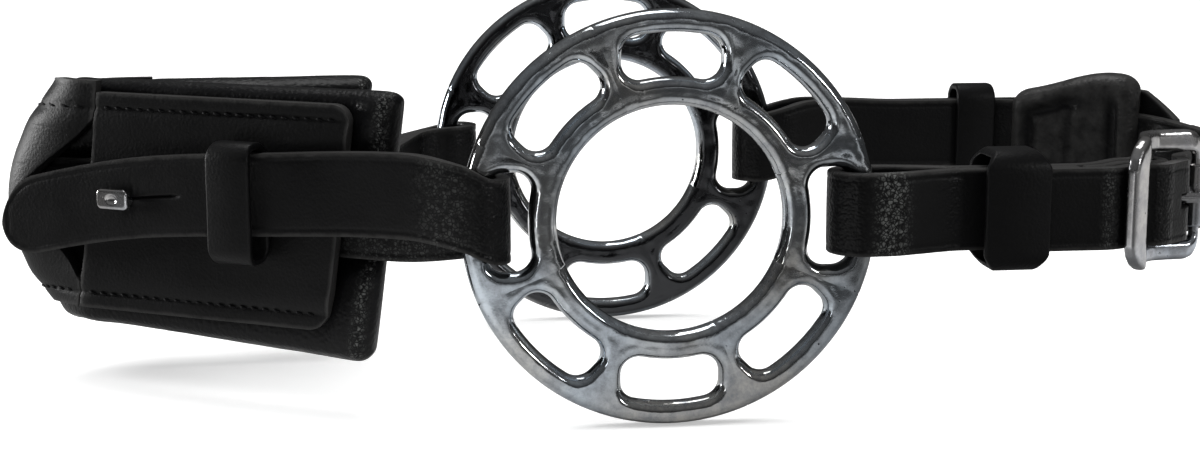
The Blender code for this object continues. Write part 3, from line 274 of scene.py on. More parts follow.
class HackamoreSizes(bpy.types.PropertyGroup):
    """Sizes of the stitching, the edges and the padding."""

    stitch_pitch: metres("Stitch pitch", "Distance from one stitch to the next", 0.0026, 0.001, 0.01)
    thread_radius: metres("Thread radius", "Radius of the sewing thread", 0.00033, 0.0001, 0.001, 5)
    seam_inset: metres("Seam inset", "Distance of the seams from the edge of a panel", 0.0035, 0.001, 0.01)
    crease_depth: metres(
        "Crease depth", "Depth of the line pressed along the edges of a strap", 0.00014, 0.0, 0.001, 5
    )
    strap_edge: metres(
        "Edge rounding", "Radius of the eased edges of straps and panels", 0.0006, 0.0001, 0.001, 5
    )
    pad_swell: metres("Pad swell", "How far the stuffing may push the lining out", 0.0011, 0.0, 0.004)
    lip_height: metres(
        "Lip height", "Height of the raised lip round the slots of a wheel", 0.00008, 0.0, 0.001, 5
    )


class HackamoreColours(bpy.types.PropertyGroup):
    """Colours of the leathers, the thread and the metals."""

    strap: tint("Strap leather", "Face colour of the straps and panels", (0.0026, 0.0026, 0.0028))
    # Rubbed cut edges; on the chin lining the same colour is also painted light on the roll
    strap_edge: tint("Cut edge", "Colour of rubbed and cut leather edges", (0.032, 0.0315, 0.031))
    # Flakes of a cracked finish, made far lighter than the leather as a painted highlight on the bends
    scales_and_highlight: tint(
        "Crackled finish",
        "Colour of the light scales where bending broke the leather's finish",
        (0.15, 0.155, 0.15),
    )
    lining: tint("Lining leather", "Colour of the soft lining", (0.0024, 0.0024, 0.0027))
    thread: tint("Thread", "Colour of the sewing thread", (0.0016, 0.0016, 0.0018))
    steel: tint("Wheel steel", "Colour of the wheels' polished steel", (0.68, 0.69, 0.71))
    steel_dark: tint(
        "Wheel steel, dull", "Colour of the mottled, darker places on the wheels", (0.31, 0.33, 0.36)
    )
    # Painted dark reflection and shade on the wheels' faces towards the horse
    steel_painted_reflection: tint(
        "Wheel steel, inner faces",
        "Colour of the wheels' darker faces towards the horse",
        (0.085, 0.087, 0.092),
    )
    buckle: tint("Buckle metal", "Colour of the buckle and the hook studs", (0.66, 0.66, 0.69))


def sizes():
    return bpy.context.scene.hackamore_sizes


def colours():
    return bpy.context.scene.hackamore_colours


# Curves


def limited(value, low=0.0, high=1.0):
    return min(max(value, low), high)


def bell(gap, width):
    """A soft ridge: 1 in its middle and almost 0 two widths away."""
    return math.exp(-((gap / width) ** 2))


def rounded(depth, radius):
    """Share of the full height at a distance in from a round edge."""
    rest = 1 - min(depth / radius, 1)
    return math.sqrt(max(0.0, 1 - rest * rest))


def corner_cut(near, radius):
    """How much a round corner takes off one side, at a distance from the end."""
    near = limited(near, 0.0, radius)
    return radius - math.sqrt(max(0.0, radius**2 - (radius - near) ** 2))


# Lines and places


def between(value, table):
    """Value between the entries (key, value) of a table sorted by key, along a smooth curve."""
    if value <= table[0][0]:
        return table[0][1]
    if value >= table[-1][0]:
        return table[-1][1]
    index = next(place for place in range(len(table) - 1) if value <= table[place + 1][0])

    def slope(place):
        if place == 0 or place == len(table) - 1:
            return 0.0
        before, after = table[place - 1], table[place + 1]
        return (after[1] - before[1]) / (after[0] - before[0])

    (low, first), (high, second) = table[index], table[index + 1]
    run = high - low
    share = (value - low) / run
    rest = 1 - share
    ends = first * rest * rest * (1 + 2 * share) + second * share * share * (3 - 2 * share)
    return ends + run * share * rest * (slope(index) * rest - slope(index + 1) * share)


class Line:
    """A plan line of straight runs and arcs, read at any distance along it."""

    def __init__(self, corners):
        points = [Vector(corner[:2]) for corner in corners]
        stations = [points[0]]
        for index in range(1, len(points) - 1):
            corner = points[index]
            radius = corners[index][2]
            into = (corner - points[index - 1]).normalized()
            out = (points[index + 1] - corner).normalized()
            turn = math.atan2(into.x * out.y - into.y * out.x, into.dot(out))
            start = corner - into * radius * math.tan(abs(turn) / 2)
            side = Vector((-into.y, into.x)) * math.copysign(1, turn)
            count = max(4, math.ceil(math.degrees(abs(turn)) / 5))
            for part in range(count + 1):
                spoke = Matrix.Rotation(turn * part / count, 2) @ (-side * radius)
                stations.append(start + side * radius + spoke)
        stations.append(points[-1])
        self.points = [stations[0]]
        for after in stations[1:]:
            before = self.points[-1]
            gap = (after - before).length
            if gap > 0.00005:
                count = math.ceil(gap / 0.002)
                self.points += [before.lerp(after, part / count) for part in range(1, count + 1)]
        self.marks = [0.0]
        for before, after in zip(self.points, self.points[1:]):
            self.marks.append(self.marks[-1] + (after - before).length)
        self.length = self.marks[-1]
        runs = [(after - before).normalized() for before, after in zip(self.points, self.points[1:])]
        turns = [(before + after).normalized() for before, after in zip(runs, runs[1:])]
        self.tangents = [runs[0], *turns, runs[-1]]

    def at(self, distance):
        """Point, tangent and left normal; runs straight on past both ends."""
        index = limited(bisect.bisect_right(self.marks, distance) - 1, 0, len(self.marks) - 2)
        run = self.marks[index + 1] - self.marks[index]
        share = (distance - self.marks[index]) / run
        point = self.points[index].lerp(self.points[index + 1], share)
        tangent = self.tangents[index].lerp(self.tangents[index + 1], limited(share)).normalized()
        return point, tangent, Vector((-tangent.y, tangent.x))

    def nearest(self, x, y):
        """Distance along at which the line comes nearest to a point."""
        return min(self.marks, key=lambda mark: (self.at(mark)[0] - Vector((x, y))).length)

    def nearest_x(self, x, low, high):
        """Distance along, between two others, at which the line comes nearest to a given x."""
        marks = [mark for mark in self.marks if low <= mark <= high]
        return min(marks, key=lambda mark: abs(self.at(mark)[0].x - x))

    def turning(self, side=1):
        """Distance along at which the line reaches its greatest x, or its least with side -1."""
        return max(zip(self.points, self.marks), key=lambda row: side * row[0].x)[1]

    def bend(self, distance):
        """How tightly the line turns at a distance, as radians in each metre."""
        before = self.at(distance - 0.001)[1]
        after = self.at(distance + 0.001)[1]
        return before.angle(after, 0.0) / 0.002


def nose_level(point):
    """Middle height of the noseband, a little lower on the off side."""
    return between(point.y, [(-0.0040, NOSE_LEVEL), (0.0190, NOSE_LEVEL - OFF_SIDE_DROP)])


def curb_level(point):
    """Middle height of the curb straps."""
    if point.y < 0.010:
        return between(point.x, [(0.040, LOOP_LEVEL), (0.060, NEAR_CURB_LEVEL)])
    side = between(point.y, [(0.014, CHIN_LEVEL), (0.047, OFF_CURB_LEVEL)])
    return between(point.x, [(0.0395, LOOP_LEVEL), (0.0540, side + 0.0006), (0.080, side)])


class Noseband:
    """The line of the noseband: its ends lean outwards and its front bulges."""

    def __init__(self):
        self.line = Line(NOSE_CORNERS)
        corners = [Vector(corner[:2]) for corner in NOSE_CORNERS]
        near = corners[0] - corners[1]
        off = corners[2] - corners[1]
        cut = NOSE_CORNERS[1][2] / math.tan(near.angle(off) / 2)
        self.start = near.length - cut
        self.end = self.line.length - (off.length - cut)
        self.total = self.line.length

    def place(self, a, b, h):
        tangent = self.line.at(a)[1]
        point, _, normal = self.line.at(a + NOSE_SLANT * b * tangent.x)
        push = 0.0
        if self.start < a < self.end:
            rise = math.sin(math.pi * (a - self.start) / (self.end - self.start)) ** 2
            share = b / NOSE_BULGE_HALF
            push = rise * (NOSE_BULGE * max(0.0, 1 - share * share) - NOSE_LEAN * share)
        height = b + nose_level(point)
        return Vector((point.x + normal.x * h - push, point.y + normal.y * h, height)) + MIDDLE


NOSE = Noseband()


def along(line, level):
    """A way to lay a strap on edge along a line; level gives its middle height at a distance and a point."""

    def place(a, b, h):
        point, _, normal = line.at(a)
        return Vector((point.x + normal.x * h, point.y + normal.y * h, b + level(a, point))) + MIDDLE

    return place


def along_curb(line):
    return along(line, lambda a, point: curb_level(point))


# Modelling


def begin(name):
    """Names what the last operator added."""
    made = bpy.context.object
    made.name = name
    made.data.name = name
    return made


def alone(piece):
    """Selects one piece and makes it active."""
    bpy.ops.object.select_all(action="DESELECT")
    piece.select_set(True)
    bpy.context.view_layer.objects.active = piece


def settle(piece):
    """Applies every modifier of a piece."""
    alone(piece)
    for step in list(piece.modifiers):
        bpy.ops.object.modifier_apply(modifier=step.name)


def clean(piece, merge=True, outwards=True):
    """Merges a piece's doubles and turns its faces outwards."""
    alone(piece)
    bpy.ops.object.mode_set(mode="EDIT")
    bpy.ops.mesh.select_all(action="SELECT")
    if merge:
        bpy.ops.mesh.remove_doubles(threshold=MERGE)
    if outwards:
        bpy.ops.mesh.normals_make_consistent(inside=False)
    bpy.ops.object.mode_set(mode="OBJECT")


def smooth(piece, angle):
    alone(piece)
    bpy.ops.object.shade_smooth_by_angle(angle=math.radians(angle), keep_sharp_edges=False)


def dress(piece, look, body, nodes=()):
    """Gives a piece its material, the body it rides on and the CAD nodes that it stands for."""
    piece.data.materials.clear()
    piece.data.materials.append(LOOKS[look])
    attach(piece, body)
    if nodes:
        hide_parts(*nodes)


def made_from(name, verts, faces):
    """A new object from points and faces, its doubles merged and its faces turned outwards."""
    mesh = bpy.data.meshes.new(name)
    mesh.from_pydata([tuple(vert) for vert in verts], [], faces)
    piece = bpy.data.objects.new(name, mesh)
    bpy.context.scene.collection.objects.link(piece)
    clean(piece)
    return piece


def ring_faces(base, rings, count, closed=False):
    """Faces between rings of points from index base on; a closed run joins its last ring to its first."""
    faces = []
    for ring in range(rings if closed else rings - 1):
        low = base + ring * count
        high = base + (ring + 1) % rings * count
        for part in range(count):
            after = (part + 1) % count
            faces.append((low + part, low + after, high + after, high + part))
    return faces


def round_corners(half_x, half_z, radius, count):
    """A rectangle's four corners in turn, each as places (x, z, angle) on its arc's centre."""
    for turn, (side_x, side_z) in enumerate(((1, 1), (-1, 1), (-1, -1), (1, -1))):
        centre = (side_x * (half_x - radius), side_z * (half_z - radius))
        yield [(*centre, math.pi / 2 * (turn + index / count)) for index in range(count + 1)]


def spaced(start, end, pitch):
    """Even places from start to end, about a pitch apart."""
    count = max(1, round((end - start) / pitch))
    return [start + (end - start) * index / count for index in range(count + 1)]


def grid(name, columns, rows, place):
    """A grid whose points lie where place puts their column and row."""
    last_column, last_row = len(columns) - 1, len(rows) - 1
    bpy.ops.object.select_all(action="DESELECT")
    bpy.ops.mesh.primitive_grid_add(x_subdivisions=last_column, y_subdivisions=last_row, size=2)
    part = begin(name)
    for vert in part.data.vertices:
        column = round((vert.co.x + 1) / 2 * last_column)
        row = round((vert.co.y + 1) / 2 * last_row)
        vert.co = place(columns[column], rows[row])
    return part


def joined(parts):
    alone(parts[0])
    for part in parts[1:]:
        part.select_set(True)
    if len(parts) > 1:
        bpy.ops.object.join()
    return parts[0]


def punch(piece, holes):
    """Takes the faces of a flat piece out of its holes, each given as (a0, a1, b0, b1)."""
    mesh = piece.data
    for item in list(mesh.polygons) + list(mesh.edges) + list(mesh.vertices):
        item.select = False
    for face in mesh.polygons:
        a, b, _ = face.center
        face.select = any(a0 < a < a1 and b0 < b < b1 for a0, a1, b0, b1 in holes)
    alone(piece)
    bpy.ops.object.mode_set(mode="EDIT")
    bpy.ops.mesh.select_mode(type="FACE")
    bpy.ops.mesh.delete(type="FACE")
    bpy.ops.mesh.select_mode(type="VERT")
    bpy.ops.object.mode_set(mode="OBJECT")


def cut_leather(name, bands, thickness, offset, holes=()):
    """A flat piece of leather from bands (columns, rows, limits), with its thickness and eased edges.

    Columns are places along, rows run from -1 to 1 between the two limits at that place."""
    parts = []
    for columns, rows, limits in bands:

        def place(a, share):
            low, high = limits(a)
            return a, (low + high) / 2 + (high - low) / 2 * share, 0

        parts.append(grid(name, columns, rows, place))
    piece = joined(parts)
    if holes:
        punch(piece, holes)
    clean(piece, outwards=False)
    wall = piece.modifiers.new("thickness", "SOLIDIFY")
    wall.thickness = thickness
    wall.offset = offset
    ease = piece.modifiers.new("eased edges", "BEVEL")
    ease.width = sizes().strap_edge
    ease.segments = 3
    ease.limit_method = "ANGLE"
    ease.angle_limit = math.radians(50)
    settle(piece)
    return piece


def keep(mesh, pattern=None, **values):
    """Keeps values of every vertex as attributes for the materials."""
    if pattern:
        mesh.attributes.new("pattern", "FLOAT_VECTOR", "POINT").data.foreach_set("vector", pattern)
    for label, row in values.items():
        mesh.attributes.new(label, "FLOAT", "POINT").data.foreach_set("value", row)


def crackled_and_highlit(a, patches):
    """How far the finish is cracked, with a painted highlight, at a place along; patches are (middle, half
    length, amount).
    """
    return sum(amount * math.exp(-(abs(a - middle) / half) ** 2.6) for middle, half, amount in patches)


def lay(piece, place, limits, span, shape=None, bend=None, patches=()):
    """Lays a flat piece in its place and keeps its pattern, edges, bends, and its cracked finish with painted
    highlight, for its material.
    """
    mesh = piece.data
    places, edges, folds, cracks = [], [], [], []
    for vert in mesh.vertices:
        a, b, h = vert.co
        low, high = limits(a)
        near = min(b - low, high - b, a - span[0], span[1] - a)
        places += [a, b, h]
        edges.append(max(0.0, 1 - max(near, 0.0) / RUB_WIDTH))
        folds.append(min(1.0, bend(a) / FULL_FOLD) if bend else 0.0)
        cracks.append(crackled_and_highlit(a, patches))
        if shape:
            a, b, h = shape(a, b, h, near)
        vert.co = place(a, b, h)
    keep(mesh, pattern=places, edge=edges, fold=folds, cracks=cracks)
    clean(piece, merge=False)
    smooth(piece, 40)


def both_ways(half):
    """Limits at the same distance on both sides of the middle."""
    return lambda a: (-half(a), half(a))


def closing(length, count):
    """Steps from an edge inwards, small where the piece turns round it."""
    return [length * (1 - math.cos(math.pi / 2 * index / count)) for index in range(count + 1)]


def mirrored(shares, middle=()):
    """Rows across a piece from those of one side, which run from its edge inwards."""
    return [-share for share in shares] + list(middle) + shares[::-1]


def strap_limits(length, tips):
    """Limits across a strap along it, with round points at the ends that have them."""

    def limits(a):
        share = 1.0
        for used, distance in zip(tips, (a, length - a)):
            if used and distance < TIP_LENGTH:
                part = max(distance, 0.0) / TIP_LENGTH
                share = min(share, max(1 - (1 - part) ** 2.4, 0.004) ** 0.6)
        return -STRAP_HALF * share, STRAP_HALF * share

    return limits


def strap(name, length, place, tips, holes=(), bend=None, slits=(), patches=()):
    """A strap with a pressed line along both edges, slight waves and the slits for its studs.

    A slit is (a0, a1): the leather is pushed up round the stud at a0 and pressed in along a narrow line from
    there to a1."""
    columns = spaced(0, length, 0.0011)
    close = [0.0001, 0.00025, 0.00045, 0.0007, 0.0011, 0.0016]
    if tips[0]:
        columns[1:2] = close
    if tips[1]:
        columns[-2:-1] = [length - step for step in reversed(close)]
    insets = (0, 0.0009, 0.0013, 0.0016, 0.0019, 0.0024, 0.0038, 0.0056)
    rows = mirrored([1 - inset / STRAP_HALF for inset in insets], (-0.19, 0.0, 0.19))
    for low, high in slits:
        first, last = low - 0.005, high + 0.001
        columns = [a for a in columns if not first < a < last] + spaced(first, last, 0.0004)
        columns.sort()
    if slits:
        rows = sorted(rows + mirrored([0.12, 0.075, 0.045, 0.02]))
    limits = strap_limits(length, tips)
    piece = cut_leather(name, [(columns, rows, limits)], STRAP_THICKNESS, 0, holes)
    depth = sizes().crease_depth

    def shape(a, b, h, near):
        pressed = depth * bell(near - 0.0016, 0.00028)
        ripple = STRAP_WAVE * noise.noise(Vector((a * 90, b * 60, 3.1)))
        shift = STRAP_WAVE * 0.7 * noise.noise(Vector((a * 60, 0.0, 7.7)))
        if h < 0:
            for low, high in slits:
                within = limited((a - low + 0.0010) / 0.0012, 0.0, max((high - a) / 0.0030, 0.0))
                pressed += 0.00075 * min(within, 1.0) * bell(b, 0.00032)
                crumple = bell(a - low - 0.0010, 0.0022) * bell(abs(b) - 0.0017, 0.0010)
                pressed -= 0.00042 * crumple * (1 + 0.8 * noise.noise(Vector((a * 900, b * 900, 2.0))))
        return a, b + shift, h - math.copysign(pressed, h) + ripple

    lay(piece, place, limits, (0, length), shape, bend, patches)
    return piece


# Materials


def feed(tree, node, feeds):
    """Sets a node's sockets to values or links them to other nodes' sockets."""
    for key, value in feeds.items():
        if isinstance(value, bpy.types.NodeSocket):
            tree.links.new(value, node.inputs[key])
        else:
            node.inputs[key].default_value = value


def add(tree, kind, feeds=None, **settings):
    """Adds a node with its settings; feeds are what its sockets get."""
    made = tree.nodes.new("ShaderNode" + kind)
    for key, value in settings.items():
        setattr(made, key, value)
    feed(tree, made, feeds or {})
    return made


def calc(tree, operation, *values, clamp=False):
    """The result of a sum on numbers and sockets."""
    return add(tree, "Math", dict(enumerate(values)), operation=operation, use_clamp=clamp).outputs[0]


def cloud(tree, where, scale, detail, roughness=0.5, output=0):
    feeds = {"Vector": where, "Scale": scale, "Detail": detail, "Roughness": roughness}
    return add(tree, "TexNoise", feeds).outputs[output]


def warped(tree, where, scale, detail, amount):
    """A place pushed about by noise."""
    push = {0: cloud(tree, where, scale, detail, output="Color"), "Scale": amount}
    shift = add(tree, "VectorMath", push, operation="SCALE").outputs[0]
    return add(tree, "VectorMath", {0: where, 1: shift}, operation="ADD").outputs[0]


def stretched(tree, where, scale):
    return add(tree, "Mapping", {"Vector": where, "Scale": scale}).outputs[0]


def ramp(tree, value, stops):
    """Maps a value through a colour ramp given as (place, grey)."""
    made = add(tree, "ValToRGB", {0: value})
    bar = made.color_ramp
    while len(bar.elements) < len(stops):
        bar.elements.new(0.5)
    for element, (place, grey) in zip(bar.elements, stops):
        element.position = place
        element.color = (grey, grey, grey, 1)
    return made.outputs[0]


def ranged(tree, value, low, high, start=0.0, end=1.0):
    """Maps a value from start to end onto low to high."""
    feeds = {"Value": value, "From Min": start, "From Max": end, "To Min": low, "To Max": high}
    return add(tree, "MapRange", feeds).outputs[0]


def mixed(tree, share, first, second):
    """A colour mixed from two, each a socket or a colour."""
    ends = [part if isinstance(part, bpy.types.NodeSocket) else (*part, 1) for part in (first, second)]
    return add(tree, "Mix", {0: share, 6: ends[0], 7: ends[1]}, data_type="RGBA").outputs[2]


def shaded(colour, share):
    return [part * share for part in colour]


def start_group(name, numbers, outputs):
    """A node group that reads a place and numbers (label: default) and puts out numbers."""
    tree = bpy.data.node_groups.new(name, "ShaderNodeTree")
    tree.interface.new_socket("Vector", in_out="INPUT", socket_type="NodeSocketVector")
    for label, default in numbers.items():
        socket = tree.interface.new_socket(label, in_out="INPUT", socket_type="NodeSocketFloat")
        socket.default_value = default
    for label in outputs:
        tree.interface.new_socket(label, in_out="OUTPUT", socket_type="NodeSocketFloat")
    return tree, tree.nodes.new("NodeGroupInput").outputs, tree.nodes.new("NodeGroupOutput")


def grain_group():
    """Leather grain: small rounded cells, fine pores and a slow unevenness."""
    tree, start, end = start_group("leather grain", {"Scale": 1400.0}, ("Height", "Patches"))
    where = start["Vector"]
    moved = warped(tree, where, 260.0, 2.0, 0.0011)
    feeds = {"Vector": moved, "Scale": start["Scale"], "Smoothness": 0.6}
    cells = add(tree, "TexVoronoi", feeds, feature="SMOOTH_F1").outputs["Distance"]
    domed = calc(tree, "SUBTRACT", 1.0, cells)
    pores = calc(tree, "MULTIPLY", cloud(tree, moved, 3800.0, 1.0), 0.35)
    feed(tree, end, {"Height": calc(tree, "ADD", domed, pores), "Patches": cloud(tree, where, 75.0, 4.0)})
    return tree


def rub_and_light_group():
    """Rubbed places along the cut edges and thin scuffs over the face; on the chin lining the same mask
    paints light on the roll and shade in the groove.
    """
    tree, start, end = start_group("rubbed places", {"Edge": 0.0, "Amount": 0.6}, ("Mask", "Scuffs"))
    where = start["Vector"]
    grown = calc(tree, "MULTIPLY", start["Edge"], cloud(tree, where, 320.0, 5.0))
    wear_and_painted_light = calc(tree, "MULTIPLY", grown, start["Amount"])
    lines = cloud(tree, stretched(tree, where, (60.0, 60.0, 900.0)), 1.0, 3.0)
    mask = ramp(tree, wear_and_painted_light, [(0.12, 0.0), (0.5, 1.0)])
    feed(tree, end, {"Mask": mask, "Scuffs": ramp(tree, lines, [(0.62, 0.0), (0.78, 1.0)])})
    return tree


def crackle_and_highlight_group():
    """Cracked finish from bending: small flakes between dark lines, lighter than the leather and lighter
    still as a painted highlight.
    """
    tree, start, end = start_group("crackled finish", {"Amount": 0.0}, ("Scales", "Height"))
    where = start["Vector"]
    moved = warped(tree, where, 420.0, 3.0, 0.0008)
    cells = add(tree, "TexVoronoi", {"Vector": moved, "Scale": 1180.0}, feature="DISTANCE_TO_EDGE")
    flat = ramp(tree, cells.outputs["Distance"], [(0.05, 0.0), (0.20, 1.0)])
    chosen = ramp(tree, cloud(tree, moved, 900.0, 2.0), [(0.40, 0.04), (0.62, 1.0)])
    border = calc(tree, "MULTIPLY_ADD", cloud(tree, where, 230.0, 4.0), 0.55, 0.72)
    raised = calc(tree, "MULTIPLY", calc(tree, "MULTIPLY", border, start["Amount"]), flat)
    feed(tree, end, {"Scales": calc(tree, "MULTIPLY", raised, chosen, clamp=True), "Height": raised})
    return tree


def cast_group():
    """Polished casting: slow waves of the surface, mottling, small nicks and hairline scratches."""
    tree, start, end = start_group("polished casting", {}, ("Height", "Mottle", "Nicks", "Warmth"))
    where = start["Vector"]
    waves = calc(tree, "MULTIPLY", cloud(tree, where, 95.0, 2.0), 2.2)
    spots = add(tree, "TexVoronoi", {"Vector": where, "Scale": 420.0}, feature="F1").outputs["Distance"]
    few = ramp(tree, cloud(tree, where, 150.0, 2.0), [(0.52, 0.0), (0.62, 1.0)])
    nicks = calc(tree, "MULTIPLY", ramp(tree, spots, [(0.05, 1.0), (0.11, 0.0)]), few)
    dents = calc(tree, "MULTIPLY", nicks, -0.5)
    marks = calc(tree, "MULTIPLY_ADD", cloud(tree, where, 1500.0, 3.0), 0.035, dents)
    mottle = cloud(tree, where, 190.0, 8.0, roughness=0.80)
    warmth = ramp(tree, cloud(tree, where, 34.0, 2.0), [(0.40, 0.0), (0.60, 1.0)])
    results = {
        "Height": calc(tree, "ADD", waves, marks),
        "Mottle": ramp(tree, mottle, [(0.40, 0.0), (0.68, 1.0)]),
        "Nicks": nicks,
        "Warmth": warmth,
    }
    feed(tree, end, results)
    return tree


def blank(name):
    """A new material with its tree, its shader and the place on the object."""
    made = bpy.data.materials.new(name)
    made.use_nodes = True
    tree = made.node_tree
    return made, tree, tree.nodes["Principled BSDF"], add(tree, "TexCoord").outputs["Object"]


def grouped(tree, group, **feeds):
    return add(tree, "Group", feeds, node_tree=group).outputs


def kept(tree, label, output="Fac"):
    """What a mesh keeps of each vertex under a label."""
    return add(tree, "Attribute", attribute_name=label).outputs[output]


def bumped(tree, height, distance):
    return add(tree, "Bump", {"Height": height, "Distance": distance, "Strength": 1.0}).outputs[0]


def leather(name, colour, groups, grain, depth, rough):
    """Black leather: grain, pores, rubbed edges, a cracked finish with a painted highlight and, at tight
    bends, creases across; on the chin lining the rubbed colour also paints light and shade.
    """
    made, tree, shader, where = blank(name)
    fold = kept(tree, "fold")
    skin = grouped(tree, groups["grain"], Vector=where, Scale=grain)
    rub_and_light = grouped(tree, groups["rub_and_light"], Vector=where, Edge=kept(tree, "edge"), Amount=1.3)
    # Cracked finish at the bends, lit by a painted highlight
    crackle_and_highlight = grouped(tree, groups["crackle_and_highlight"], Vector=where, Amount=kept(tree, "cracks"))
    face = mixed(tree, ranged(tree, skin["Patches"], 0.0, 0.75), colour, shaded(colour, 1.9))
    # Rubbed edges; on the chin lining this mix is painted light on the roll and painted shade in the groove
    wear_and_painted_light = mixed(tree, rub_and_light["Mask"], face, colours().strap_edge)
    scaly_and_highlit = mixed(tree, crackle_and_highlight["Scales"], wear_and_painted_light, colours().scales_and_highlight)
    patchy = ranged(tree, skin["Patches"], rough - 0.10, rough + 0.12)
    gloss = calc(tree, "ADD", patchy, calc(tree, "MULTIPLY", fold, -0.14))
    dull = calc(tree, "ADD", gloss, calc(tree, "MULTIPLY", rub_and_light["Scuffs"], 0.14))
    across = stretched(tree, kept(tree, "pattern", "Vector"), (900.0, 160.0, 160.0))
    wrinkles = calc(tree, "MULTIPLY", cloud(tree, across, 1.0, 2.0), fold)
    creases = calc(tree, "MULTIPLY", wrinkles, FOLD_DEPTH)
    coarse = calc(tree, "MULTIPLY", skin["Height"], calc(tree, "MULTIPLY_ADD", fold, 2.0, 1.0))
    lifted = calc(tree, "MULTIPLY_ADD", crackle_and_highlight["Height"], 1.6, creases)
    height = calc(tree, "ADD", coarse, lifted)
    finish = {
        "Base Color": scaly_and_highlit,
        "Roughness": dull,
        "Normal": bumped(tree, height, depth),
        "Specular IOR Level": 0.21,
    }
    feed(tree, shader, finish)
    return made


def steel(name, light, dark, groups, rough, wave):
    """Polished metal with darker mottling, small nicks and a slightly wavy surface, and a painted dark
    reflection on the faces that a mesh marks.
    """
    made, tree, shader, where = blank(name)
    cast = grouped(tree, groups["cast"], Vector=where)
    cool = (light[0] * 0.92, light[1], light[2] * 1.06)
    warm = (light[0], light[1] * 0.97, light[2] * 0.90)
    face = mixed(tree, cast["Mottle"], mixed(tree, cast["Warmth"], cool, warm), dark)
    nicked = mixed(tree, cast["Nicks"], face, shaded(dark, 0.35))
    finish = {
        # Painted dark reflection and shade on the faces marked towards the horse
        "Base Color": mixed(tree, kept(tree, "inner"), nicked, colours().steel_painted_reflection),
        "Roughness": ranged(tree, cast["Mottle"], rough, rough + 0.14),
        "Normal": bumped(tree, cast["Height"], wave),
        "Metallic": 1.0,
    }
    feed(tree, shader, finish)
    return made


def waxed_thread(name, colour):
    """Twisted, waxed thread."""
    made, tree, shader, where = blank(name)
    twist = cloud(tree, where, 2600.0, 2.0)
    finish = {
        "Base Color": mixed(tree, twist, colour, shaded(colour, 2.2)),
        "Roughness": 0.6,
        "Normal": bumped(tree, twist, 0.00008),
        "Specular IOR Level": 0.15,
    }
    feed(tree, shader, finish)
    return made


def pale_floor(name):
    """White to the camera; in the reflections it has a dark band in front and grows darker to the right."""
    made, tree, shader, where = blank(name)
    pale = mixed(tree, cloud(tree, where, 14.0, 3.0), (0.90, 0.90, 0.90), (0.94, 0.94, 0.94))
    parts = add(tree, "SeparateXYZ", {0: where}).outputs
    back = ranged(tree, parts["Y"], 0.0, 1.0, -1.2, 0.3)
    across = ranged(tree, parts["X"], 0.0, 1.0, -0.3, 0.4)
    front = ramp(tree, back, [(0.0, 0.80), (0.30, 0.66), (0.49, 0.12), (0.60, 0.08), (0.70, 1.0)])
    width = ramp(tree, across, [(0.20, 1.0), (0.50, 0.75), (0.73, 0.16), (0.80, 0.16), (0.93, 0.62)])
    centre = calc(tree, "MULTIPLY", front, width)
    left = ramp(tree, back, [(0.0, 0.03), (0.86, 0.03), (0.91, 0.95)])
    leftness = ramp(tree, across, [(0.20, 1.0), (0.26, 0.62), (0.40, 0.55), (0.48, 0.0)])
    sides = add(tree, "Mix", {0: leftness, 2: centre, 3: left}).outputs[0]
    near_left = ramp(tree, across, [(0.22, 0.0), (0.30, 1.0), (0.36, 1.0), (0.44, 0.0)])
    ahead = ramp(tree, back, [(0.50, 0.0), (0.56, 0.8), (0.66, 0.8), (0.72, 0.0)])
    glow = calc(tree, "ADD", sides, calc(tree, "MULTIPLY", near_left, ahead), clamp=True)
    mirrored_floor = mixed(tree, glow, (0.02, 0.02, 0.02), (1.0, 1.0, 1.0))
    seen = add(tree, "LightPath").outputs["Is Camera Ray"]
    finish = {
        "Base Color": mixed(tree, seen, mirrored_floor, pale),
        "Emission Color": (1, 1, 1, 1),
        "Emission Strength": calc(tree, "MULTIPLY", seen, 0.42),
        "Roughness": 0.9,
        "Specular IOR Level": 0.1,
    }
    feed(tree, shader, finish)
    return made


LOOKS = {}


def make_looks():
    """Builds the shared effects and every material once."""
    groups = {"grain": grain_group(), "rub_and_light": rub_and_light_group(), "crackle_and_highlight": crackle_and_highlight_group(), "cast": cast_group()}
    chosen = colours()
    LOOKS["strap"] = leather("strap leather", chosen.strap, groups, 1500.0, 0.00005, 0.44)
    LOOKS["lining"] = leather("lining leather", chosen.lining, groups, 1050.0, 0.00011, 0.34)
    LOOKS["steel"] = steel("wheel steel", chosen.steel, chosen.steel_dark, groups, 0.07, 0.00034)
    buckle_dark = shaded(chosen.buckle, 0.62)
    LOOKS["buckle"] = steel("buckle metal", chosen.buckle, buckle_dark, groups, 0.16, 0.0001)
    LOOKS["thread"] = waxed_thread("waxed thread", chosen.thread)
    LOOKS["floor"] = pale_floor("floor")


# Pieces


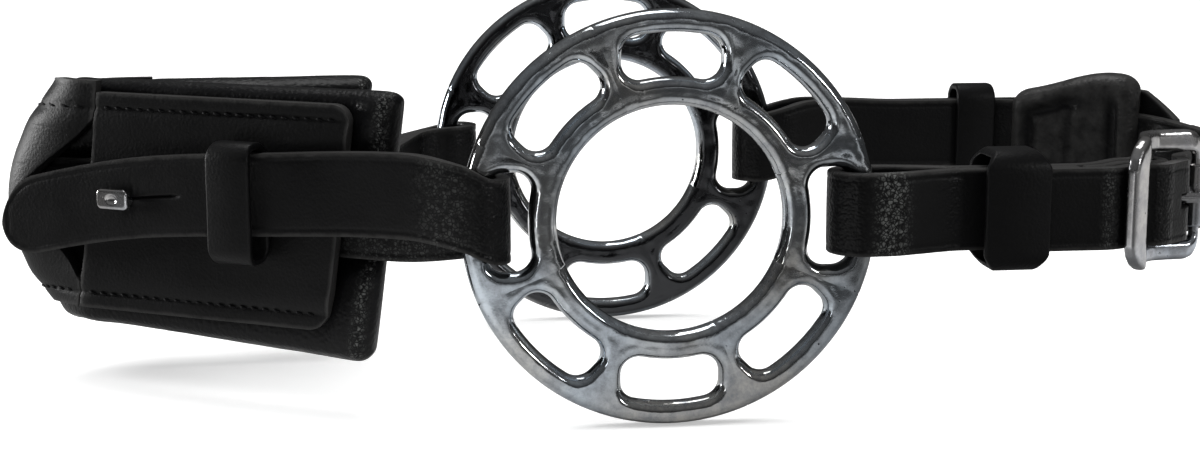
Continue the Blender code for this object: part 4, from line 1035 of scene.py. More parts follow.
class HACKAMORE_OT_stage(bpy.types.Operator):
    """Set up the camera at the photograph's view, a pale floor and soft studio light"""

    bl_idname = "hackamore.stage"
    bl_label = "Camera, floor and lights"

    def execute(self, context):
        bpy.ops.object.select_all(action="DESELECT")
        turn = (math.radians(79.9), 0, math.radians(-7.4))
        bpy.ops.object.camera_add(location=(0.05811, -0.47541, 0.07522), rotation=turn)
        camera = context.object
        camera.name = "camera"
        camera.data.lens = 60
        camera.data.sensor_width = 36
        camera.data.clip_start = 0.01
        context.scene.camera = camera
        bpy.ops.mesh.primitive_plane_add(size=6, location=(0, 0, CAD_BOX[0].z - FLOOR_GAP))
        floor = begin("floor")
        floor.data.materials.append(LOOKS["floor"])
        for name, place, width, power in SOFTBOXES:
            bpy.ops.object.light_add(type="AREA", location=place)
            lamp = context.object
            lamp.name = name
            lamp.data.shape = "SQUARE"
            lamp.data.size = width
            lamp.data.energy = power
            lamp.visible_camera = False
            lamp.rotation_euler = (AIM - Vector(place)).to_track_quat("-Z", "Y").to_euler()
        tilt = (math.radians(8), math.radians(-14), 0)
        bpy.ops.object.light_add(type="SUN", location=(0, 0, 2), rotation=tilt)
        overhead = context.object
        overhead.name = "overhead light"
        overhead.data.energy = 2.6
        overhead.data.angle = math.radians(70)
        overhead.visible_glossy = False
        context.scene.view_settings.view_transform = "Standard"
        world = bpy.data.worlds.new("pale studio")
        context.scene.world = world
        world.use_nodes = True
        tree = world.node_tree
        way = add(tree, "SeparateXYZ", {0: add(tree, "TexCoord").outputs["Generated"]}).outputs
        rise = ranged(tree, way["Z"], 0.03, 0.16, 0.05, 0.8)
        seen = add(tree, "LightPath").outputs["Is Camera Ray"]
        shown = add(tree, "Mix", {0: seen, 2: rise, 3: 1.0}).outputs[0]
        feed(tree, tree.nodes["Background"], {"Color": (1, 1, 1, 1), "Strength": shown})
        return {"FINISHED"}


def wheel_height(depth, lip):
    """Half thickness of a wheel at a distance from its edge: a round edge with a slightly raised lip."""
    raised = bell(depth - 0.0022, 0.0011) - 0.6 * min(1, depth / 0.004)
    return WHEEL_THICKNESS / 2 * rounded(depth, WHEEL_ROUNDING) + lip * raised


def slot_curve(count=40):
    """One slot's outline in a wheel's plane, its long sides along the rim and the hub."""
    radius = SLOT_CORNER
    low = SLOT_INNER + radius
    high = SLOT_OUTER - radius
    reach = SLOT_LENGTH / 2 - radius
    low_angle = math.asin(reach / low)
    high_angle = math.asin(reach / high)

    def arc(x, y, size, first, last, skip=0):
        steps = range(skip, count + 1 - skip)
        angles = [first + (last - first) * step / count for step in steps]
        return [Vector((x + size * math.cos(angle), y + size * math.sin(angle))) for angle in angles]

    quarter = math.pi / 2
    far = (high * math.cos(high_angle), high * math.sin(high_angle))
    close = (low * math.cos(low_angle), low * math.sin(low_angle))
    outline = arc(far[0], -far[1], radius, -quarter, -high_angle)
    outline += arc(0, 0, SLOT_OUTER, -high_angle, high_angle, 1)
    outline += arc(*far, radius, high_angle, quarter)
    outline += arc(*close, radius, quarter, math.pi + low_angle)
    outline += arc(0, 0, SLOT_INNER, low_angle, -low_angle, 1)
    return outline + arc(close[0], -close[1], radius, math.pi - low_angle, 3 * quarter)


def cast_wheel(name, side):
    """A wheel from one spoke-to-spoke sector, modelled once and repeated round the hub."""
    outline = slot_curve()
    runs = list(zip(outline, outline[1:] + outline[:1]))
    middle = Vector(((SLOT_INNER + SLOT_OUTER) / 2, 0))
    wedge = math.pi / SLOT_COUNT
    rays = 96
    steps = [0, 0.02, 0.05, 0.09, 0.14, 0.20, 0.27, 0.35, 0.44, 0.53]
    steps += [0.62, 0.71, 0.79, 0.86, 0.91, 0.95, 0.98, 1]
    corners = [(WHEEL_RADIUS, -wedge), (WHEEL_RADIUS, wedge), (HOLE_RADIUS, wedge), (HOLE_RADIUS, -wedge)]

    def at_slot(way):
        """The farthest point at which a way out of the slot's middle crosses its outline."""
        best = 0.0
        for before, after in runs:
            run = after - before
            cross = way.x * run.y - way.y * run.x
            if abs(cross) < 1e-12:
                continue
            gap = before - middle
            share = (gap.x * way.y - gap.y * way.x) / cross
            if -1e-6 <= share <= 1 + 1e-6:
                best = max(best, (gap.x * run.y - gap.y * run.x) / cross)
        return middle + way * best

    def at_border(index):
        """Points round the sector's border, evenly spaced on each of its four sides."""
        part, step = divmod(index, rays // 4)
        (first, angle), (last, turned) = corners[part], corners[(part + 1) % 4]
        share = step / (rays // 4)
        radius = first + (last - first) * share
        angle += (turned - angle) * share
        return Vector((radius * math.cos(angle), radius * math.sin(angle)))

    def to_slot(point):
        """Distance to the slot's outline."""
        best = 1.0
        for before, after in runs:
            run = after - before
            share = limited((point - before).dot(run) / max(run.length_squared, 1e-16))
            best = min(best, (point - before - run * share).length)
        return best

    borders = [at_border(index) for index in range(rays)]
    spokes = [(at_slot((border - middle).normalized()), border) for border in borders]
    lip = sizes().lip_height
    sheet = []
    for share in steps:
        for slot, border in spokes:
            point = slot.lerp(border, share)
            near = to_slot(point) if share > 0 else 0.0
            depth = min(near, WHEEL_RADIUS - point.length, point.length - HOLE_RADIUS)
            sheet.append((point, wheel_height(max(depth, 0.0), lip)))
    verts, faces = [], []
    for face_side in (1, -1):
        faces += ring_faces(len(verts), len(steps), rays)
        verts += [Vector((point.x, face_side * height, point.y)) for point, height in sheet]
    place = Vector((0, side * SIDE_Y, 0)) + MIDDLE
    all_verts, all_faces = [], []
    for spoke in range(SLOT_COUNT):
        turn = Matrix.Rotation(spoke * 2 * wedge, 3, "Y")
        base = len(all_verts)
        all_verts += [turn @ vert + place for vert in verts]
        all_faces += [tuple(base + index for index in face) for face in faces]
    piece = made_from(name, all_verts, all_faces)
    bpy.ops.object.shade_smooth()
    mark_painted_reflection(piece, side)
    return piece


def mark_painted_reflection(piece, side):
    """Marks the flat of a wheel's face towards the horse, for its painted dark reflection and shade."""
    mesh = piece.data
    if "inner" in mesh.attributes:
        mesh.attributes.remove(mesh.attributes["inner"])
    middle = MIDDLE.y + side * SIDE_Y
    shares = [(vert.co.y - middle) * -side / (WHEEL_THICKNESS / 2) for vert in mesh.vertices]
    keep(mesh, inner=[limited((share - 0.80) / 0.18) for share in shares])


class HACKAMORE_OT_wheels(bpy.types.Operator):
    """Cast and polish the two slotted wheels"""

    bl_idname = "hackamore.wheels"
    bl_label = "Wheels"

    def execute(self, context):
        near = cast_wheel("near_wheel_casting", -1)
        bpy.ops.object.duplicate()
        off = begin("off_wheel_casting")
        off.data.transform(Matrix.Translation((0, 2 * SIDE_Y, 0)))
        mark_painted_reflection(off, 1)
        dress(near, "steel", "near wheel", ["near_wheel"])
        dress(off, "steel", "off wheel", ["off_wheel"])
        return {"FINISHED"}


class HACKAMORE_OT_nose_strap(bpy.types.Operator):
    """Lay the strap that carries both wheels round the nose"""

    bl_idname = "hackamore.nose_strap"
    bl_label = "Nose strap"

    def execute(self, context):
        near = Line(NEAR_NOSE_CORNERS)
        off = Line(OFF_NOSE_CORNERS)
        near_turn, off_turn = near.turning(), off.turning()
        near_inner = [(NOSE_CORNERS[0][0], NOSE_LEVEL), (LOOP_X, NEAR_NOSE_LEVEL)]
        off_inner = [(NOSE_CORNERS[2][0], NOSE_LEVEL - OFF_SIDE_DROP), (LOOP_X, OFF_NOSE_LEVEL)]

        def near_level(a, point):
            return between(point.x, NEAR_OUTER_LEVELS if a < near_turn else near_inner)

        def off_level(a, point):
            return between(point.x, off_inner if a < off_turn else OFF_OUTER_LEVELS)

        near_place = along(near, near_level)
        off_place = along(off, off_level)
        first_in, last_in = 0.0040, 0.0020
        start = near.length
        end = start + NOSE.total - first_in - last_in

        def place(a, b, h):
            if a <= start:
                return near_place(a, b, h)
            if a >= end:
                return off_place(a - end, b, h)
            return NOSE.place(first_in + a - start, b, h - STRAP_DEPTH - PLY)

        def bend(a):
            if a <= start:
                return near.bend(a)
            return off.bend(a - end) if a >= end else 0.0

        slits = [(NOSE_STUD + 0.0006, NOSE_STUD + 0.0145)]
        # Cracked finish with a painted highlight at two bends of the near side, out to the wheel and back
        # under
        outer = near.nearest_x(-0.0484, 0, near_turn)
        under = near.nearest_x(-0.0560, near_turn, 1.0)
        patches = [(outer, 0.0050, 0.31), (under, 0.0120, 0.38)]
        total = end + off.length
        made = strap("nose_strap_leather", total, place, (True, True), (), bend, slits, patches)
        dress(made, "strap", "noseband", ["nose_strap"])
        return {"FINISHED"}


def panel_half(a):
    """Half height of the noseband's outer leather along it, with round corners at the wheels' ends."""
    return PANEL_HALF - corner_cut(min(a, NOSE.total - a) - PANEL_INSET, PANEL_CORNER)


def panel_rows():
    inset = sizes().seam_inset
    steps = [0, 0.0009, 0.0018]
    steps += [inset + step for step in (-0.0009, -0.0005, -0.0002, 0.0002, 0.0005, 0.0010, 0.0020)]
    steps += [0.0075, 0.0095, 0.0115, 0.0140, 0.0170, 0.0200, 0.0230]
    return mirrored([1 - step / PANEL_HALF for step in steps])


def panel_columns(start, end, round_start):
    steps = closing(PANEL_CORNER, 6)
    if round_start:
        return [start + step for step in steps] + spaced(start + PANEL_CORNER, end, 0.0011)[1:]
    return spaced(start, end - PANEL_CORNER, 0.0011)[:-1] + [end - step for step in reversed(steps)]


def sewn_relief(a, b, h, near):
    """The sewn relief of a panel: a groove along both seams and a soft rise between them."""
    past = PANEL_HALF - abs(b) - sizes().seam_inset
    if h > PANEL_THICKNESS * 0.3:
        h += 0.00035 * bell(past - 0.0035, 0.0022) - 0.00042 * bell(past, 0.00055)
        h += 0.00022 * noise.noise(Vector((a * 55, b * 55, 1.3)))
    return a, b, h


def lay_panel(name, node, bands, limits, span):
    """Cuts a piece of the noseband's outer leather and lays it on the lining."""
    piece = cut_leather(name, bands, PANEL_THICKNESS, 1)
    piece.data.transform(Matrix.Translation((0, 0, SEAT_GAP / 2)))
    lay(piece, NOSE.place, limits, span, sewn_relief)
    dress(piece, "strap", "noseband", [node])


class HACKAMORE_OT_nose_panels(bpy.types.Operator):
    """Cut and lay the two side panels and the cover over the bridge of the nose"""

    bl_idname = "hackamore.nose_panels"
    bl_label = "Noseband panels"

    def execute(self, context):
        start, end = NOSE.start, NOSE.end
        limits = both_ways(panel_half)
        sides = (
            ("near", PANEL_INSET, start - SEAT_GAP),
            ("off", end + SEAT_GAP, NOSE.total - PANEL_INSET),
        )
        for side, first, last in sides:
            bands = [(panel_columns(first, last, side == "near"), panel_rows(), limits)]
            lay_panel(side + "_panel_leather", side + "_nose_panel", bands, limits, (first, last))

        def mouth(a):
            """Half height of the V cut into each end of the cover."""
            return NOTCH_HALF * max(0.0, 1 - min(a - start, end - a) / NOTCH_DEPTH)

        columns = spaced(start, start + NOTCH_DEPTH, 0.0007)[:-1]
        columns += spaced(start + NOTCH_DEPTH, end - NOTCH_DEPTH, 0.0008)
        columns += spaced(end - NOTCH_DEPTH, end, 0.0007)[1:]
        rows = [-1, -0.92, -0.8, -0.6, -0.4, -0.2, 0, 0.2, 0.35]
        rows += [0.48, 0.58, 0.66, 0.72, 0.78, 0.84, 0.9, 0.96, 1]
        bands = [
            (columns, rows, lambda a: (mouth(a), panel_half(a) + COVER_RISE)),
            (columns, [-row for row in reversed(rows)], lambda a: (-panel_half(a), -mouth(a))),
        ]
        wider = lambda a: (-panel_half(a), panel_half(a) + COVER_RISE)
        lay_panel("bridge_leather", "nose_bridge_cover", bands, wider, (start, end))
        return {"FINISHED"}


def stitches(name, rows, place, lift, body):
    """Rows of stitches, each from (a, b) to (a, b), every stitch a little thread that dips at both ends."""
    pitch = sizes().stitch_pitch
    radius = sizes().thread_radius
    sides = 6
    profile = [(0.0, 0.15, -0.9), (0.08, 0.7, -0.5), (0.25, 1.0, 0.15), (0.5, 1.05, 0.35)]
    profile += [(1 - share, wide, rise) for share, wide, rise in profile[2::-1]]
    verts, faces = [], []
    for (a0, b0), (a1, b1) in rows:
        length = math.hypot(a1 - a0, b1 - b0)
        count = max(1, int(length / pitch))
        way = ((a1 - a0) / length, (b1 - b0) / length)
        for index in range(count):
            centre = (index + 0.5) * length / count
            seed = noise.noise(Vector((a0 + centre * 400, b0 * 300, 5.0)))
            slant = 0.00028 + 0.00012 * seed
            ends = []
            for side in (-1, 1):
                run = centre + side * 0.40 * pitch
                a = a0 + way[0] * run - way[1] * side * slant
                b = b0 + way[1] * run + way[0] * side * slant
                ends.append((place(a, b, lift), place(a, b, lift + 0.001)))
            (first, first_up), (last, last_up) = ends
            up = ((first_up - first) + (last_up - last)).normalized()
            across = (last - first).normalized().cross(up).normalized()
            base = len(verts)
            for share, wide, rise in profile:
                middle = first.lerp(last, share) + up * rise * radius
                for part in range(sides):
                    angle = 2 * math.pi / sides * part
                    spoke = across * math.cos(angle) + up * math.sin(angle)
                    verts.append(middle + spoke * radius * wide)
            faces += ring_faces(base, len(profile), sides)
            faces.append(tuple(reversed(range(base, base + sides))))
            faces.append(tuple(range(len(verts) - sides, len(verts))))
    piece = made_from(name, verts, faces)
    bpy.ops.object.shade_smooth()
    dress(piece, "thread", body)


class HACKAMORE_OT_stitching(bpy.types.Operator):
    """Sew the noseband"""

    bl_idname = "hackamore.stitching"
    bl_label = "Stitching"

    def execute(self, context):
        seam = PANEL_HALF - sizes().seam_inset
        spans = (
            (PANEL_INSET + 0.003, NOSE.start - 0.002),
            (NOSE.end + 0.002, NOSE.total - PANEL_INSET - 0.003),
            (NOSE.start + 0.002, NOSE.end - 0.002),
        )
        rows = []
        for first, last in spans:
            stops = spaced(first, last, 0.020)
            for b in (seam, -seam):
                rows += [((low, b), (high, b)) for low, high in zip(stops, stops[1:])]
        lift = SEAT_GAP / 2 + PANEL_THICKNESS - STITCH_SINK
        stitches("noseband_stitching", rows, NOSE.place, lift, "noseband")
        return {"FINISHED"}


def leather_loop(name, place, turn, width, opening, level, narrow):
    """A keeper: a band of leather bent into a loop, narrower at its folds."""
    deep, tall = opening[0] / 2, opening[1] / 2
    radius = min(0.0022, deep * 0.8)
    stations = []
    for quarter, corner in enumerate(round_corners(deep, tall, radius, 8)):
        stations += corner
        if quarter in (1, 3):
            x, z, angle = corner[-1]
            stations += [(x, z - 2 * z * share, angle) for share in (0.1, 0.25, 0.4, 0.5, 0.6, 0.75, 0.9)]
    half = KEEPER_THICKNESS / 2
    ease = KEEPER_THICKNESS * 0.36
    profile = []
    for corner in round_corners(half, width / 2, ease, 3):
        for x, z, angle in corner:
            profile.append((half + x + ease * math.cos(angle), z + ease * math.sin(angle)))
    way = Matrix.Rotation(turn, 3, "Z")
    centre = Vector((place[0], place[1], level)) + MIDDLE
    reach = tall + KEEPER_THICKNESS
    verts = []
    for x, z, angle in stations:
        for out, along_strap in profile:
            across = x + (radius + out) * math.cos(angle)
            up = z + (radius + out) * math.sin(angle)
            slim = 1 - narrow * max(0.0, (abs(up) / reach - 0.72) / 0.28) ** 1.2
            ripple = 0.00010 * noise.noise(Vector((across * 260, up * 260, along_strap * 130)))
            verts.append(way @ Vector((along_strap * slim, across + ripple, up)) + centre)
    piece = made_from(name, verts, ring_faces(0, len(stations), len(profile), closed=True))
    keep(piece.data, edge=[0.10] * len(piece.data.vertices))
    smooth(piece, 50)
    return piece


class HACKAMORE_OT_keepers(bpy.types.Operator):
    """Bend the fixed keepers of the noseband and the sliding keepers of the curb"""

    bl_idname = "hackamore.keepers"
    bl_label = "Keepers"

    def execute(self, context):
        near_end, front, off_end = [Vector(corner[:2]) for corner in NOSE_CORNERS]
        near = (front - near_end).normalized()
        off = (front - off_end).normalized()
        room = 0.0024
        lift = PANEL_THICKNESS + SEAT_GAP * 1.5 + KEEPER_THICKNESS + SEAT_GAP + PLY + room / 2
        near_spot = near_end + near * 0.0310 + Vector((-near.y, near.x)) * lift
        off_spot = off_end + off * 0.0200 + Vector((off.y, -off.x)) * lift
        near_level = between(near_spot.x, NEAR_OUTER_LEVELS) - 0.0016
        near_turn = math.atan2(near.y, near.x)
        off_turn = math.atan2(off.y, off.x)
        plies = 2 * STRAP_THICKNESS + SEAT_GAP
        tall = 2 * STRAP_HALF + 0.0052
        fixed = (STRAP_THICKNESS + 2 * SEAT_GAP + room, 2 * STRAP_HALF + 0.0056)
        near_curb = (plies + STRAP_THICKNESS + SEAT_GAP + 0.0009, tall)
        off_curb = (plies + 0.0008, tall)
        near_run, off_run = (0.0745, -0.05455), (0.1000, SIDE_Y)
        rows = [
            ("near_nose_keeper", "noseband", near_spot, near_turn, 0.0108, fixed, near_level, 0.10),
            ("off_nose_keeper", "noseband", off_spot, off_turn, 0.0108, fixed, -0.0072, 0.10),
            ("near_curb_keeper", "near keeper", near_run, 0.0, 0.0145, near_curb, NEAR_CURB_LEVEL, 0.36),
            ("off_curb_keeper", "off keeper", off_run, 0.0, 0.0105, off_curb, OFF_CURB_LEVEL, 0.06),
        ]
        for node, body, *measures in rows:
            made = leather_loop(node + "_leather", *measures)
            dress(made, "strap", body, [node])
        return {"FINISHED"}


class Pad:
    """A stuffed lining laid flat: its run, its outline, the leather sewn over it and the strap's channel."""

    channel = STRAP_HALF + 0.0006
    inner_step = 0.3
    # The pressed line along the seam: its depth and width, and how far the pad sinks past it
    groove = (0.30, 0.0012, 0.0)
    creases = ()
    patches = ()

    def __init__(self, span, reach, cover_span, cover, thickness, floor, seam):
        self.span = span
        self.reach = reach
        self.cover_span = cover_span
        self.cover = cover
        self.thickness = thickness
        self.floor = floor
        self.seam = seam

    def inside(self, a, b):
        """Distance from the outline and from the edge of the leather above, which is negative under it."""
        low, high = self.reach(a)
        border = min(b - low, high - b, a - self.span[0], self.span[1] - a)
        under, over = self.cover(a)
        outside = max(under - b, b - over, self.cover_span[0] - a, a - self.cover_span[1])
        return max(border, 0.0), outside

    def creased(self, a, b, width):
        """How deep in a crease across the pad a place lies; creases end at the seam."""
        within = limited(self.seam(a, b) / 0.003)
        return sum(within * bell(a - crease - 0.02 * b, width) for crease in self.creases)

    def heights(self, a, b):
        """Height of the front and of the back at a place, both at the middle level on the outline."""
        border, outside = self.inside(a, b)
        middle = -0.36 * self.thickness
        front = -SEAT_GAP
        if abs(b) < self.channel:
            front = self.floor
        elif outside > 0:
            width = outside + border
            front += PAD_ROLL * width * math.sin(math.pi * (outside / width) ** 0.62)
        depth, width, sink = self.groove
        past = self.seam(a, b)
        pressed = depth * bell(past, width) + sink * limited(past / 0.002)
        back = 0.0008 * self.creased(a, b, 0.0008) - self.thickness * (1 - pressed)
        front = middle + (front - middle) * rounded(border, PAD_FRONT_ROUND)
        return front, middle + (back - middle) * rounded(border, PAD_BACK_ROUND)

    def wear_and_painted_light(self, a, b):
        """How far the back takes the light rubbed colour: wear and, where a pad gives it, painted light and
        shade.
        """
        return 0.0


def stuffed_lining(name, pad, place, pitch):
    """The lining as a closed bag, a front and a back on one outline, and how freely each vertex may move."""
    start, end = pad.span
    rim = closing(PAD_BACK_ROUND, 6)
    columns = [start + step for step in rim]
    columns += spaced(start + PAD_BACK_ROUND, end - PAD_BACK_ROUND, pitch)[1:-1]
    columns += [end - step for step in reversed(rim)]
    widest = max(max(abs(side) for side in pad.reach(a)) for a in columns)
    reach = pad.channel / widest
    half_rows = [1 - step / widest for step in closing(PAD_FOLD, 6)]
    half_rows += spaced(1 - PAD_FOLD / widest, reach + 0.0001 / widest, pitch / widest)[1:]
    half_rows.append(reach - 0.0002 / widest)
    rows = mirrored(half_rows, spaced(-0.8 * reach, 0.8 * reach, pad.inner_step * reach))
    parts = []
    for side in (0, 1):

        def spread(a, share):
            low, high = pad.reach(a)
            end_share = high if share > 0 else -low
            inner = min(abs(share), reach) / reach * pad.channel
            outer = max(0.0, abs(share) - reach) / (1 - reach) * (end_share - pad.channel)
            b = math.copysign(inner + outer, share)
            return a, b, pad.heights(a, b)[side]

        parts.append(grid(name, columns, rows, spread))
    piece = joined(parts)
    clean(piece, outwards=False)
    mesh = piece.data
    free, places, crack_highlight_values, wear_and_painted_light = [], [], [], []
    for vert in mesh.vertices:
        a, b, h = vert.co
        is_back = h < -0.5 * pad.thickness
        if is_back:
            loose = 0.3 * min(1.0, abs(pad.seam(a, b)) / 0.0022)
        elif abs(b) < pad.channel + 0.0004:
            loose = 0.0
        else:
            loose = limited(pad.inside(a, b)[1] / 0.0012)
        free.append(loose)
        places += [a, b, h]
        wear_and_painted_light.append(pad.wear_and_painted_light(a, b))
        crack_highlight_values.append(crackled_and_highlit(a, pad.patches) * (abs(b) > pad.channel or is_back))
        vert.co = place(a, b, h)
    # The back's wear with its painted light and shade, and the cracked finish with its painted highlight, go
    # to the material
    keep(mesh, pattern=places, edge=wear_and_painted_light, fold=[0.0] * len(wear_and_painted_light), cracks=crack_highlight_values)
    clean(piece, merge=False)
    return piece, free


def surface(piece):
    """A piece's faces, for finding the distance from them."""
    places = [vert.co for vert in piece.data.vertices]
    return BVHTree.FromPolygons(places, [face.vertices for face in piece.data.polygons])


def swell(piece, free, neighbours):
    """Blows the lining up with Cloth, holds it at its seams and keeps it off the pieces next to it."""
    mesh = piece.data
    scene = bpy.context.scene
    held = piece.vertex_groups.new(name="held")
    for index, loose in enumerate(free):
        held.add([index], 1 - loose, "REPLACE")
    before = [vert.co.copy() for vert in mesh.vertices]
    mesh.transform(Matrix.Scale(CLOTH_SCALE, 4))
    cloth = piece.modifiers.new("stuffing", "CLOTH")
    for key, value in CLOTH.items():
        setattr(cloth.settings, key, value)
    cloth.settings.effector_weights.gravity = 0
    cloth.collision_settings.use_collision = False
    cloth.point_cache.frame_start = 1
    cloth.point_cache.frame_end = CLOTH_FRAMES
    for step in range(CLOTH_FRAMES):
        scene.frame_set(step + 1)
    settle(piece)
    scene.frame_set(1)
    mesh = piece.data
    mesh.transform(Matrix.Scale(1 / CLOTH_SCALE, 4))
    piece.vertex_groups.clear()
    limit = sizes().pad_swell
    fields = [surface(other) for other in neighbours]

    def clearance(spot):
        return min(field.find_nearest(spot)[3] for field in fields)

    for vert, start, loose in zip(mesh.vertices, before, free):
        move = (vert.co - start) * loose
        if move.length > limit:
            move *= limit / move.length
        near = clearance(start) if fields else 1.0
        if near < 0.004:
            for share in (1.0, 0.6, 0.3, 0.0):
                if clearance(start + move * share) > min(near, 0.00025):
                    break
            move *= share
        vert.co = start + move
    ease = piece.modifiers.new("ease", "SMOOTH")
    ease.factor = 0.5
    ease.iterations = 3
    finer = piece.modifiers.new("round", "SUBSURF")
    finer.levels = 1
    finer.render_levels = 1
    settle(piece)
    smooth(piece, 60)


def nose_pad():
    total = NOSE.total

    def reach(a):
        near = min(a, total - a)
        corner = corner_cut(near, 0.0030)
        return corner - between(near, [(0, 0.0322), (NOSE.start, 0.0296)]), 0.0274 - corner

    def cover(a):
        return -PANEL_HALF, PANEL_HALF + (COVER_RISE if NOSE.start <= a <= NOSE.end else 0.0)

    def seam(a, b):
        return abs(abs(b) - (PANEL_HALF - sizes().seam_inset))

    floor = -(STRAP_DEPTH + STRAP_THICKNESS + 0.0006)
    pad = Pad((0.0, total), reach, (PANEL_INSET, total - PANEL_INSET), cover, 0.0094, floor, seam)
    # Cracked finish with a painted highlight on the lining's roll at each end
    pad.patches = [(0.0024, 0.0010, 1.0), (total - 0.0024, 0.0010, 1.0)]
    return pad


def chin_half(a):
    """Half height of the chin pad along it."""
    return between(a, [(CHIN_START, 0.0120), (CHIN_END - 0.006, 0.0190)])


def chin_cover_half(a):
    """Half height of the leather outside the chin pad, which runs out to the strap's width past the pad."""
    if a <= CHIN_END:
        return chin_half(a) - between(a, [(CHIN_START, 0.0020), (CHIN_END - 0.006, 0.0040)])
    return CHIN_PANEL_HALF + (STRAP_HALF - CHIN_PANEL_HALF) * min(1.0, (a - CHIN_END) / CHIN_TAPER)


def chin_pad():
    def half(a):
        return chin_half(a) - corner_cut(min(a - CHIN_START, CHIN_END - a), 0.0045)

    def seam(a, b):
        return min(chin_half(a) - abs(b), CHIN_END - a, a - CHIN_START + 0.0010) - 0.0064

    # The lining's wear, lighter on the roll as painted light and cleared from the groove and the crease as
    # painted shade
    def wear_and_painted_light(a, b):
        past = seam(a, b)
        groove = bell(past - 0.0002, 0.0016) + pad.creased(a, b, 0.0007)
        return (0.70 if past < 0 else 0.56) * max(0.0, 1 - groove)

    span = (CHIN_START, CHIN_END)
    floor = -(STRAP_THICKNESS + SEAT_GAP + 0.0006)
    pad = Pad(span, both_ways(half), span, both_ways(chin_cover_half), 0.0070, floor, seam)
    pad.groove = (0.42, 0.0012, 0.20)
    pad.creases = (CHIN_START + 0.0160,)
    pad.inner_step = 0.12
    pad.wear_and_painted_light = wear_and_painted_light
    return pad


class HACKAMORE_OT_pads(bpy.types.Operator):
    """Stuff the lining of the noseband and the chin pad"""

    bl_idname = "hackamore.pads"
    bl_label = "Padded linings"

    def execute(self, context):
        near = [item for item in bpy.data.objects if item.name in PAD_NEIGHBOURS]
        piece, free = stuffed_lining("nose_lining", nose_pad(), NOSE.place, 0.0015)
        swell(piece, free, near)
        dress(piece, "lining", "noseband", ["nose_pad"])
        flat = along_curb(Line(CHIN_PAD_CORNERS))
        place = lambda a, b, h: flat(a, b, h + PLY + SEAT_GAP)
        piece, free = stuffed_lining("chin_lining", chin_pad(), place, 0.0012)
        swell(piece, free, near)
        dress(piece, "lining", "curb", ["chin_pad"])
        return {"FINISHED"}


class HACKAMORE_OT_chin_panel(bpy.types.Operator):
    """Cut the leather outside the chin pad and sew it on"""

    bl_idname = "hackamore.chin_panel"
    bl_label = "Chin panel"

    def execute(self, context):
        place = along_curb(Line(CHIN_PAD_CORNERS))
        end = CHIN_END + CHIN_TAPER
        seat = PLY + SEAT_GAP
        seam = 0.0024
        limits = both_ways(chin_cover_half)
        steps = (0, 0.0006, 0.0012, 0.0018, 0.0022, 0.0026, 0.0032, 0.0044, 0.0070, 0.0110)
        rows = mirrored([1 - step / CHIN_PANEL_HALF for step in steps], (0.0,))
        bands = [(spaced(CHIN_START, end, 0.0008), rows, limits)]
        piece = cut_leather("chin_panel_leather", bands, CHIN_PANEL_THICKNESS, 1)
        piece.data.transform(Matrix.Translation((0, 0, seat)))

        def shape(a, b, h, near):
            if h > seat + CHIN_PANEL_THICKNESS / 2:
                h -= 0.00030 * bell(near - seam, 0.0005)
            return a, b, h

        lay(piece, place, limits, (CHIN_START, end), shape)
        dress(piece, "strap", "curb", ["chin_panel"])
        rows = []
        stops = spaced(CHIN_START + 0.003, CHIN_END, 0.005) + spaced(CHIN_END, end - 0.002, 0.0035)[1:]
        for low, high in zip(stops, stops[1:]):
            for side in (1, -1):
                rows.append([(a, side * (chin_cover_half(a) - seam)) for a in (low, high)])
        lift = seat + CHIN_PANEL_THICKNESS - STITCH_SINK
        stitches("chin_stitching", rows, place, lift, "curb")
        return {"FINISHED"}


class HACKAMORE_OT_curb(bpy.types.Operator):
    """Lay the folded curb strap of the near side and the strap round the chin"""

    bl_idname = "hackamore.curb"
    bl_label = "Curb straps"

    def execute(self, context):
        near, chin = Line(CURB_CORNERS), Line(CHIN_CORNERS)
        fold = near.nearest(0.1128, -0.0441)
        punched = chin.nearest(0.1164, -0.0470)
        near_hole = (fold - 0.0075, fold + 0.0062, -0.0023, 0.0023)
        chin_hole = (punched - 0.0044, punched + 0.0044, -0.0018, 0.0018)
        # Cracked finish with a painted highlight at a bend of each curb strap
        near_patch = (near.nearest_x(0.0466, 0, near.turning(-1)), 0.0031, 1.25)
        chin_patch = (chin.nearest_x(0.0957, 0, punched), 0.0012, 0.45)
        rows = [
            ("near_curb_leather", "near_curb_strap", near, (False, False), near_hole, near_patch),
            ("chin_strap_leather", "chin_strap", chin, (True, True), chin_hole, chin_patch),
        ]
        for name, node, line, tips, hole, patch in rows:
            made = strap(name, line.length, along_curb(line), tips, [hole], line.bend, patches=[patch])
            dress(made, "strap", "curb", [node])
        return {"FINISHED"}


def fuller_frame(point):
    """Moves a point of the buckle frame outwards, so that its rails and front bar are as stout as in life."""
    way = Vector((math.cos(BUCKLE_TURN), math.sin(BUCKLE_TURN), 0))
    gap = point - MIDDLE - Vector((*BUCKLE_CENTRE, NEAR_CURB_LEVEL))
    past_bar = gap.dot(way) + 0.0101
    past_rail = abs(gap.z) - 0.0103
    moved = point.copy()
    if past_bar < 0:
        moved += way * past_bar * 0.27
    if past_rail > 0:
        moved.z += past_rail * (0.35 if gap.z > 0 else -0.14)
    return moved


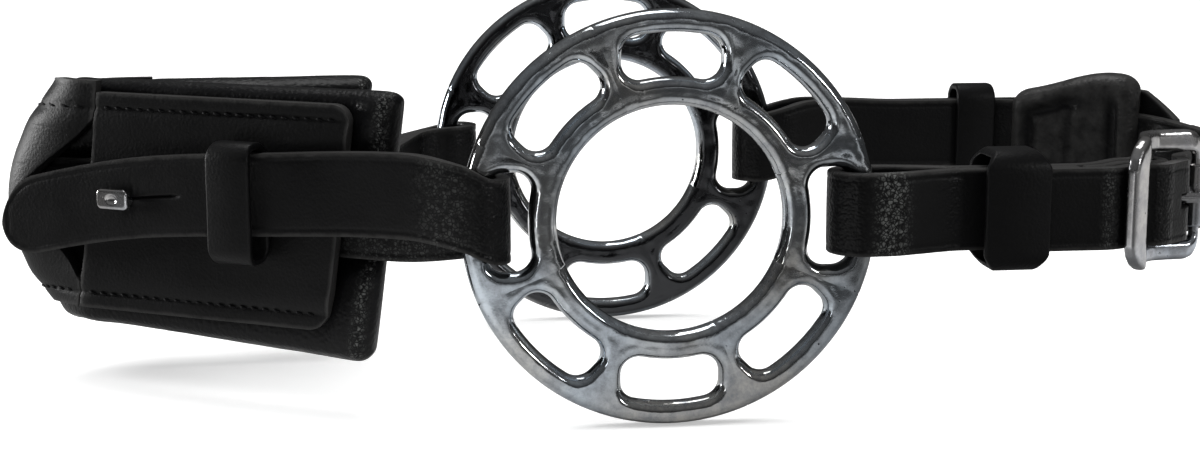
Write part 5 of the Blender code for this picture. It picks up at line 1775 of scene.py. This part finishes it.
def polished_casting(node, name, voxel, rounds):
    """A copy of a CAD fitting with its edges melted round, as polishing leaves them."""
    source = frame["nodes"][node]
    alone(source)
    bpy.ops.object.duplicate()
    piece = begin(name)
    for key in list(piece.keys()):
        del piece[key]
    world = source.matrix_world.copy()
    piece.parent = None
    piece.matrix_world = world
    bpy.ops.object.transform_apply(location=True, rotation=True, scale=True)
    clean(piece, outwards=False)
    skin = piece.modifiers.new("even skin", "REMESH")
    skin.mode = "VOXEL"
    skin.voxel_size = voxel
    ease = piece.modifiers.new("polished", "SMOOTH")
    ease.factor = 0.5
    ease.iterations = rounds
    settle(piece)
    if node == "buckle_frame":
        for vert in piece.data.vertices:
            vert.co = fuller_frame(vert.co)
    bpy.ops.object.shade_smooth()
    return piece


class HACKAMORE_OT_metal(bpy.types.Operator):
    """Polish the buckle, its roller and tongue, and the hook studs"""

    bl_idname = "hackamore.metal"
    bl_label = "Buckle and studs"

    def execute(self, context):
        rows = [
            ("buckle_frame", "curb", 0.00028, 10),
            ("buckle_roller", "roller", 0.00020, 4),
            ("buckle_tongue", "tongue", 0.00020, 6),
            ("near_nose_hook_stud", "noseband", 0.00018, 5),
            ("off_nose_hook_stud", "noseband", 0.00018, 5),
            ("off_curb_hook_stud", "curb", 0.00018, 5),
        ]
        for node, body, voxel, rounds in rows:
            piece = polished_casting(node, node + "_metal", voxel, rounds)
            dress(piece, "buckle", body, [node])
        return {"FINISHED"}


class HACKAMORE_PT_panel(bpy.types.Panel):
    """The hackamore's sizes, colours and pieces"""

    bl_idname = "HACKAMORE_PT_panel"
    bl_label = "Hackamore"
    bl_space_type = "VIEW_3D"
    bl_region_type = "UI"
    bl_category = "Hackamore"

    def draw(self, context):
        layout = self.layout
        for group in (context.scene.hackamore_sizes, context.scene.hackamore_colours):
            column = layout.column()
            for name in group.__annotations__:
                column.prop(group, name)
        for item in CLASSES:
            if issubclass(item, bpy.types.Operator):
                layout.operator(item.bl_idname)


CLASSES = (
    HackamoreSizes,
    HackamoreColours,
    HACKAMORE_OT_stage,
    HACKAMORE_OT_wheels,
    HACKAMORE_OT_nose_strap,
    HACKAMORE_OT_nose_panels,
    HACKAMORE_OT_stitching,
    HACKAMORE_OT_keepers,
    HACKAMORE_OT_curb,
    HACKAMORE_OT_chin_panel,
    HACKAMORE_OT_pads,
    HACKAMORE_OT_metal,
    HACKAMORE_PT_panel,
)


def register():
    for item in CLASSES:
        bpy.utils.register_class(item)
    bpy.types.Scene.hackamore_sizes = bpy.props.PointerProperty(type=HackamoreSizes)
    bpy.types.Scene.hackamore_colours = bpy.props.PointerProperty(type=HackamoreColours)


def unregister():
    del bpy.types.Scene.hackamore_sizes
    del bpy.types.Scene.hackamore_colours
    for item in reversed(CLASSES):
        bpy.utils.unregister_class(item)


def main():
    register()
    make_looks()
    bpy.ops.hackamore.stage()
    bpy.ops.hackamore.wheels()
    bpy.ops.hackamore.nose_strap()
    bpy.ops.hackamore.nose_panels()
    bpy.ops.hackamore.stitching()
    bpy.ops.hackamore.keepers()
    bpy.ops.hackamore.curb()
    bpy.ops.hackamore.chin_panel()
    bpy.ops.hackamore.pads()
    bpy.ops.hackamore.metal()


if __name__ == "__main__":
    main()
